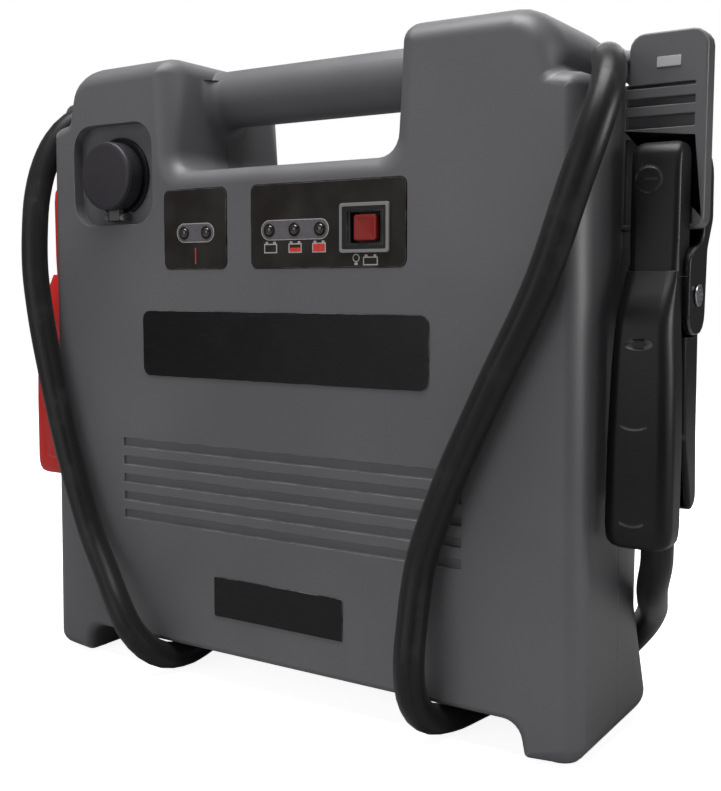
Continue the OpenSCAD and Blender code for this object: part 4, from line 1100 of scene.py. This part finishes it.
class PACK_OT_outlet(bpy.types.Operator):
    """Turn the outlet's ribbed cap and lipped flange, and finish the barrel and hinge"""

    bl_idname = "jumppack.outlet"
    bl_label = "Power Outlet"

    def execute(self, context):
        edge = context.scene.pack_sizes.metal_edge
        x, z = middle("socket_flange").x, middle("socket_barrel").z
        self.cap(x, z, context.scene.pack_sizes.cap_ribs)
        hinge_z = middle("cap_hinge").z
        self.tongue(x, -low("cap_hinge").y - 2, hinge_z)
        skinned("cap_hinge", "case_grey", 0.3 * MM)
        self.flange(x, z, hinge_z)
        skinned("socket_barrel", "barrel_steel", edge, smooth=40)
        skinned("cap_hinge_pin", "barrel_steel", 0.1 * MM, smooth=40)
        coated("socket_contact", "contact_brass")
        return {"FINISHED"}

    def cap(self, x, z, ribs):
        """Cap with a plug at its back and fine grip ribs round its rim."""
        lo, hi = low("socket_cap"), high("socket_cap")
        radius = (hi.x - lo.x) / 2
        face, back, plug = -lo.y, -low("socket_flange").y + 0.3, -hi.y
        plug_radius = 9.4
        levels = [(plug, plug_radius - 0.7), (plug + 0.5, plug_radius), (back, plug_radius)]
        levels += [(back, radius - 0.8), (back + 0.5, radius - 0.35), (face - 1.9, radius - 0.35)]
        levels += [(face - drop, radius - inset) for drop, inset in
                   ((1.0, 0.45), (0.35, 0.95), (0, 1.9), (0, 3.6), (0.15, 4.4))]
        cap = to_front(stacked("outlet_cap_shell", [disc(*level, x, z) for level in levels], sides=2 * ribs))

        def every_other_strip(part):
            spot = part.calc_center_median() / MM
            if not back + 1 < -spot.y < face - 2:
                return False
            strip = math.atan2(spot.z - z, spot.x - x) / math.tau * 2 * ribs
            return int(math.floor(strip)) % 2 == 0

        with editing(cap):
            pick("faces", every_other_strip)
            bpy.ops.mesh.inset(use_individual=True, thickness=0.12 * MM, depth=0.32 * MM)
        softened(cap, 0, smooth=28)
        finished(cap, "outlet_cap", "cap_grey", "socket_cap")

    def tongue(self, x, axis_y, axis_z):
        """Tongue that ties the cap to its hinge pin."""
        half, thick, reach = 4, 1.9, 7
        levels = plate_levels(x - half, x + half, axis_z - thick, axis_z + reach,
                              axis_y - thick, axis_y + thick, 0.7)
        tongue = softened(to_front(stacked("cap_tongue", levels, 0.9)), 0)
        finished(tongue, "outlet_cap", "case_grey")

    def flange(self, x, z, hinge_z):
        """Flange with a rounded rim and a lip round its bore, notched for the hinge."""
        lo, hi = low("socket_flange"), high("socket_flange")
        rim, inner = -lo.y, -hi.y
        outer = (hi.x - lo.x) / 2
        rounding = ((0.5, 0.1), (0.1, 0.4), (0, 0.9), (0, 1.4), (0.45, 1.9))
        lip = ((0.45, 12.6), (0.2, 12.2), (0.2, 11.0), (0.7, 10.7))
        levels = [(inner, outer - 0.1)] + [(rim - drop, outer - inset) for drop, inset in rounding]
        levels += [(rim - drop, radius) for drop, radius in lip]
        flange = stacked("outlet_flange", [disc(*level, x, z) for level in levels], sides=64)
        through = (inner - 2, rim + 2)
        bore = stacked("bore_cutter", [disc(height, 10.6, x, z) for height in through], sides=64)
        span = (x - 9, x + 9, hinge_z - 8, hinge_z + 3.4)
        notch = stacked("notch_cutter", [(height, *span) for height in through])
        cut(flange, bore, notch)
        softened(to_front(flange), 0, smooth=30)
        finished(flange, "case", "switch_black", "socket_flange")


# Front half of the right clamp's grip: height above its foot, half its width, its front and its back
GRIP_LEVELS = (
    (0, 11.0, -30.6, -18.6), (1.2, 13.2, -32.2, -18), (3.2, 14.6, -32.9, -17.9), (6, 15.2, -33.3, -17.8),
    (10, 15.45, -33.5, -17.7), (46, 15.3, -33.3, -17.1), (80, 14.3, -32.8, -16.2), (95, 13.4, -32.2, -15.8),
    (102, 13.0, -30.9, -15.7), (108, 12.5, -28.2, -15.6), (114, 12.1, -24.6, -15.6),
    (119, 11.8, -21.2, -15.7), (123, 11.4, -18.9, -16.2),
)
GRIP_CORNER = 5.0
GRIP_MARKS = ((72, 5.8), (55, 5.8), (12, 5.4))  # height above the foot and half the width of each curved mark
GRIP_MARK_SAG = 1.4
DIMPLE_HEIGHT = 91
DIMPLE_LEVELS = ((-1.5, 6.9), (0, 6.6), (0.45, 6.2), (0.85, 5.0), (1.0, 3.0))  # depth and radius
DIMPLE_SQUASH = 0.38
JAW_HALF = 11.2        # half the width of the jaw cover
JAW_FRONT = -17
JAW_CORNER = 3.4
JAW_MARK_RADIUS = 5.7
JAW_MARK_DROP = 16.7   # from the cover's top down to the middle of its round mark
JAW_MARK_SHIFT = -2.7  # of the round mark from the cover's middle
BAR_HALF, BAR_THICK = 3.9, 0.35  # half the length and half the height of the bar in the round mark
PIVOT_HOLE = 3.05
CLAMP_EDGE = 0.35 * MM
GROOVE_SHARE = 0.8     # radius of a mark's groove as a share of the mark depth


class PACK_OT_clamps(bpy.types.Operator):
    """Shape the clamps' front halves with their moulded marks, and finish their rear halves"""

    bl_idname = "jumppack.clamps"
    bl_label = "Clamps"

    def execute(self, context):
        sizes = context.scene.pack_sizes
        lo, hi = low("clamp_front_right"), high("clamp_front_right")
        x = (lo.x + hi.x) / 2
        depth = sizes.mark_depth / MM
        grip = self.grip(x, lo.z, sizes.grip_wall, depth)
        jaw = self.jaw_cover(x, lo.z, hi.z, sizes.grip_wall, depth)
        for side, slot in (("right", "clamp_black"), ("left", "clamp_red")):
            if side == "left":
                grip, jaw = mirrored(grip, "grip_left"), mirrored(jaw, "jaw_cover_left")
            finished(grip, "case", slot, f"clamp_front_{side}")
            finished(jaw, "case", slot, f"clamp_front_{side}")
            skinned(f"clamp_rear_{side}", slot, 0.5 * MM, f"lever_{side}", crease=40)
        return {"FINISHED"}

    def opened(self, piece, test, wall):
        """Takes off the faces that pass a test and gives the rest a wall."""
        with editing(piece):
            pick("faces", test)
            bpy.ops.mesh.delete(type="FACE")
        modified(piece, "SOLIDIFY", thickness=wall, offset=-1, use_even_offset=True)

    def grip(self, x, foot, wall, depth):
        """Front half of the handle, open at the back, with a thumb dimple and shallow curved marks."""
        levels = [(foot + height, x - half, x + half, front, back)
                  for height, half, front, back in GRIP_LEVELS]
        grip = stacked("grip_right", levels, GRIP_CORNER, flat_back=True)
        self.opened(grip, lambda face: face.normal.y > 0.7, wall)
        dimple = stacked("dimple", [disc(*level) for level in DIMPLE_LEVELS], sides=40)
        dimple.scale = (1, DIMPLE_SQUASH, 1)
        placed(dimple)
        placed(dimple, Vector((x - 0.5, -32.4, foot + DIMPLE_HEIGHT)) * MM, (-96, 0, 0))
        cutters = [dimple]
        for height, half in GRIP_MARKS:
            path = [Vector((x - 1.5 + half * t, -33.35, foot + height - GRIP_MARK_SAG * (1 - t * t))) * MM
                    for t in (-1, -0.75, -0.5, -0.25, 0, 0.25, 0.5, 0.75, 1)]
            cutters.append(tube("curved_mark", path, depth * GROOVE_SHARE * MM, 8))
        return softened(cut(grip, *cutters), CLAMP_EDGE, crease=50, smooth=40)

    def jaw_cover(self, x, foot, top, wall, depth):
        """Jaw cover with its round mark and the pivot's hole, open at the back and foot."""
        pivot = middle("pivot_pin_right")
        # Height, loss at each side, loss at the front, and back
        outline = ((foot + 100, 0, 0.4, 9), (pivot.z - 6, 0, 0, 12.4), (pivot.z + 12, 0, 0, 10),
                   (pivot.z + 20, 0, 0, 0.5), (pivot.z + 24, 0, 0, -0.7), (top - 12, 0, 0, -0.7),
                   (top - 6, 0, 0.8, -0.7), (top - 2.6, 0.6, 2.8, -0.8), (top - 0.8, 1.8, 5.4, -1.1),
                   (top, 3.4, 8, -2))
        levels = [(height, x - JAW_HALF + side, x + JAW_HALF - side, JAW_FRONT + front, back)
                  for height, side, front, back in outline]
        jaw = stacked("jaw_cover_right", levels, JAW_CORNER, flat_back=True)
        self.opened(jaw, lambda face: face.normal.y > 0.3 or face.normal.z < -0.9, wall)
        mark_x, mark_z = x + JAW_MARK_SHIFT, top - JAW_MARK_DROP
        bpy.ops.mesh.primitive_torus_add(major_segments=48, minor_segments=8,
                                         major_radius=JAW_MARK_RADIUS * MM,
                                         minor_radius=depth * GROOVE_SHARE * MM)
        circle = placed(bpy.context.object, Vector((mark_x, JAW_FRONT, mark_z)) * MM, (90, 0, 0))
        span = (mark_x - BAR_HALF, mark_x + BAR_HALF, mark_z - BAR_THICK, mark_z + BAR_THICK)
        bar = to_front(stacked("bar_cutter", [(-JAW_FRONT - depth, *span), (1 - JAW_FRONT, *span)]))
        ends = [disc(x + reach, PIVOT_HOLE, -pivot.z, pivot.y) for reach in (-20, 20)]
        hole = placed(stacked("pivot_cutter", ends, sides=40), turn=(0, 90, 0))
        return softened(cut(jaw, circle, bar, hole), CLAMP_EDGE, crease=50, smooth=40)


class PACK_OT_clamp_metal(bpy.types.Operator):
    """Finish the jaws, pivot pins and crimps, and coil the springs"""

    bl_idname = "jumppack.clamp_metal"
    bl_label = "Clamp Metal"

    def execute(self, context):
        sizes = context.scene.pack_sizes
        for side in ("right", "left"):
            skinned(f"jaw_front_{side}", "jaw_copper", sizes.metal_edge)
            skinned(f"jaw_rear_{side}", "jaw_copper", sizes.metal_edge, f"lever_{side}")
            skinned(f"crimp_{side}", "jaw_copper", sizes.metal_edge, smooth=40)
            skinned(f"pivot_pin_{side}", "barrel_steel", 0.3 * MM, smooth=40)
        spring = self.spring(sizes.spring_wire)
        other = mirrored(spring, "spring_left_coil")
        finished(spring, "case", "spring_steel", "spring_right")
        finished(other, "case", "spring_steel", "spring_left")
        return {"FINISHED"}

    def spring(self, wire):
        """Torsion spring round the right pivot: a leg forwards, five turns, a leg down."""
        lo, hi = low("spring_right"), high("spring_right")
        pivot = middle("pivot_pin_right")
        half = wire / MM / 2
        reach = hi.y - half - pivot.y
        x0, x1 = lo.x + half, hi.x - half
        turns, steps, leg = 5, 20, 25
        path = [Vector((x0, lo.y + half, pivot.z - leg))]
        for k in range(turns * steps + 1):
            turn = math.radians(90) - math.tau * k / steps
            path.append(Vector((x0 + (x1 - x0) * k / (turns * steps), pivot.y - reach * math.sin(turn),
                                pivot.z + reach * math.cos(turn))))
        path.append(Vector((x1, pivot.y + reach, lo.z + half)))
        return tube("spring_right_coil", [point * MM for point in path], wire / 2, 10)


class PACK_OT_charge_inlet(bpy.types.Operator):
    """Finish the charging inlet and its pins"""

    bl_idname = "jumppack.charge_inlet"
    bl_label = "Charge Inlet"

    def execute(self, context):
        skinned("charge_inlet", "switch_black", context.scene.pack_sizes.trim_edge)
        skinned("inlet_pins", "contact_brass", context.scene.pack_sizes.metal_edge)
        return {"FINISHED"}


class PACK_OT_inside(bpy.types.Operator):
    """Give the parts inside the case their finishes"""

    bl_idname = "jumppack.inside"
    bl_label = "Inner Parts"

    def execute(self, context):
        for node, slot in (("battery", "battery_black"), ("battery_terminals", "terminal_metal"),
                           ("terminal_bolts", "contact_brass"), ("lead_lugs", "contact_brass"),
                           ("battery_pads", "foam_grey"), ("charger_module", "module_metal"),
                           ("main_fuse", "fuse_amber")):
            coated(node, slot)
        return {"FINISHED"}


class PACK_OT_stage(bpy.types.Operator):
    """Lay a pale floor and hang soft studio lights"""

    bl_idname = "jumppack.stage"
    bl_label = "Floor And Lights"

    def execute(self, context):
        context.scene.view_settings.view_transform = "Standard"
        self.floor(context.scene.pack_colours.floor_pale)
        self.world()
        for name, place, size, power in LIGHTS:
            bpy.ops.object.light_add(type="AREA", location=place)
            lamp = bpy.context.object
            lamp.name = name
            lamp.data.shape = "SQUARE"
            lamp.data.size = size
            lamp.data.energy = power
            lamp.rotation_euler = (PACK_MIDDLE - lamp.location).to_track_quat("-Z", "Y").to_euler()
            lamp.visible_diffuse = name != "rim_light"
        return {"FINISHED"}

    def seen_rays(self, tree):
        """1 for rays that come straight from the camera or through a clear piece."""
        rays = tree.nodes.new("ShaderNodeLightPath").outputs
        return math_node(tree, "MAXIMUM", rays["Is Camera Ray"], rays["Is Transmission Ray"])

    def floor(self, shade):
        """Pale floor that shows as white to the camera and keeps the pack's shadow."""
        bpy.ops.mesh.primitive_plane_add(size=FLOOR_SIZE, location=(0, 0, -FLOOR_DROP))
        ground = bpy.context.object
        ground.name = "studio_floor"
        material, tree, shader = new_material("Studio Floor")
        slow = noise(tree, object_place(tree), 3.0, 2.0)
        seen = self.seen_rays(tree)
        pale = mix_colour(tree, slow, shade, lighter(shade, 0.1))
        tree.links.new(mix_colour(tree, seen, darker(shade, 0.55), pale), shader.inputs["Base Color"])
        shader.inputs["Roughness"].default_value = 0.8
        shader.inputs["Emission Color"].default_value = (1, 1, 1, 1)
        tree.links.new(math_node(tree, "MULTIPLY", seen, 0.9), shader.inputs["Emission Strength"])
        ground.data.materials.append(material)
        placed(ground)

    def world(self):
        """Even surroundings, white where the camera looks at them and dim for the light they give."""
        world = bpy.data.worlds.new("studio_world")
        bpy.context.scene.world = world
        world.use_nodes = True
        tree = world.node_tree
        back = tree.nodes["Background"]
        back.inputs["Color"].default_value = (1, 1, 1, 1)
        tree.links.new(ramp(tree, self.seen_rays(tree), 0.0, 1.0, 0.11, 1.0), back.inputs["Strength"])


class PACK_PT_panel(bpy.types.Panel):
    """Sidebar panel with the pack's sizes, colours and building steps"""

    bl_label = "Jump Starter Pack"
    bl_idname = "PACK_PT_panel"
    bl_space_type = "VIEW_3D"
    bl_region_type = "UI"
    bl_category = "Jump Starter"

    def draw(self, context):
        layout = self.layout
        for holder in (context.scene.pack_sizes, context.scene.pack_colours):
            column = layout.column(align=True)
            for name in holder.__annotations__:
                column.prop(holder, name)
        column = layout.column(align=True)
        for step in STEPS:
            column.operator(step.bl_idname)


STEPS = (
    PACK_OT_camera, PACK_OT_boots, PACK_OT_cables, PACK_OT_case, PACK_OT_trim, PACK_OT_panels, PACK_OT_print,
    PACK_OT_lamps, PACK_OT_switch, PACK_OT_outlet, PACK_OT_clamps, PACK_OT_clamp_metal, PACK_OT_charge_inlet,
    PACK_OT_inside, PACK_OT_declare_cords, PACK_OT_stage,
)
CLASSES = (PackSizes, PackColours, *STEPS, PACK_PT_panel)


def register():
    for made in CLASSES:
        bpy.utils.register_class(made)
    bpy.types.Scene.pack_sizes = PointerProperty(type=PackSizes)
    bpy.types.Scene.pack_colours = PointerProperty(type=PackColours)


def unregister():
    del bpy.types.Scene.pack_colours
    del bpy.types.Scene.pack_sizes
    for made in reversed(CLASSES):
        bpy.utils.unregister_class(made)


def main():
    register()
    for step in STEPS:
        getattr(bpy.ops.jumppack, step.bl_idname.split(".")[1])()


if __name__ == "__main__":
    main()
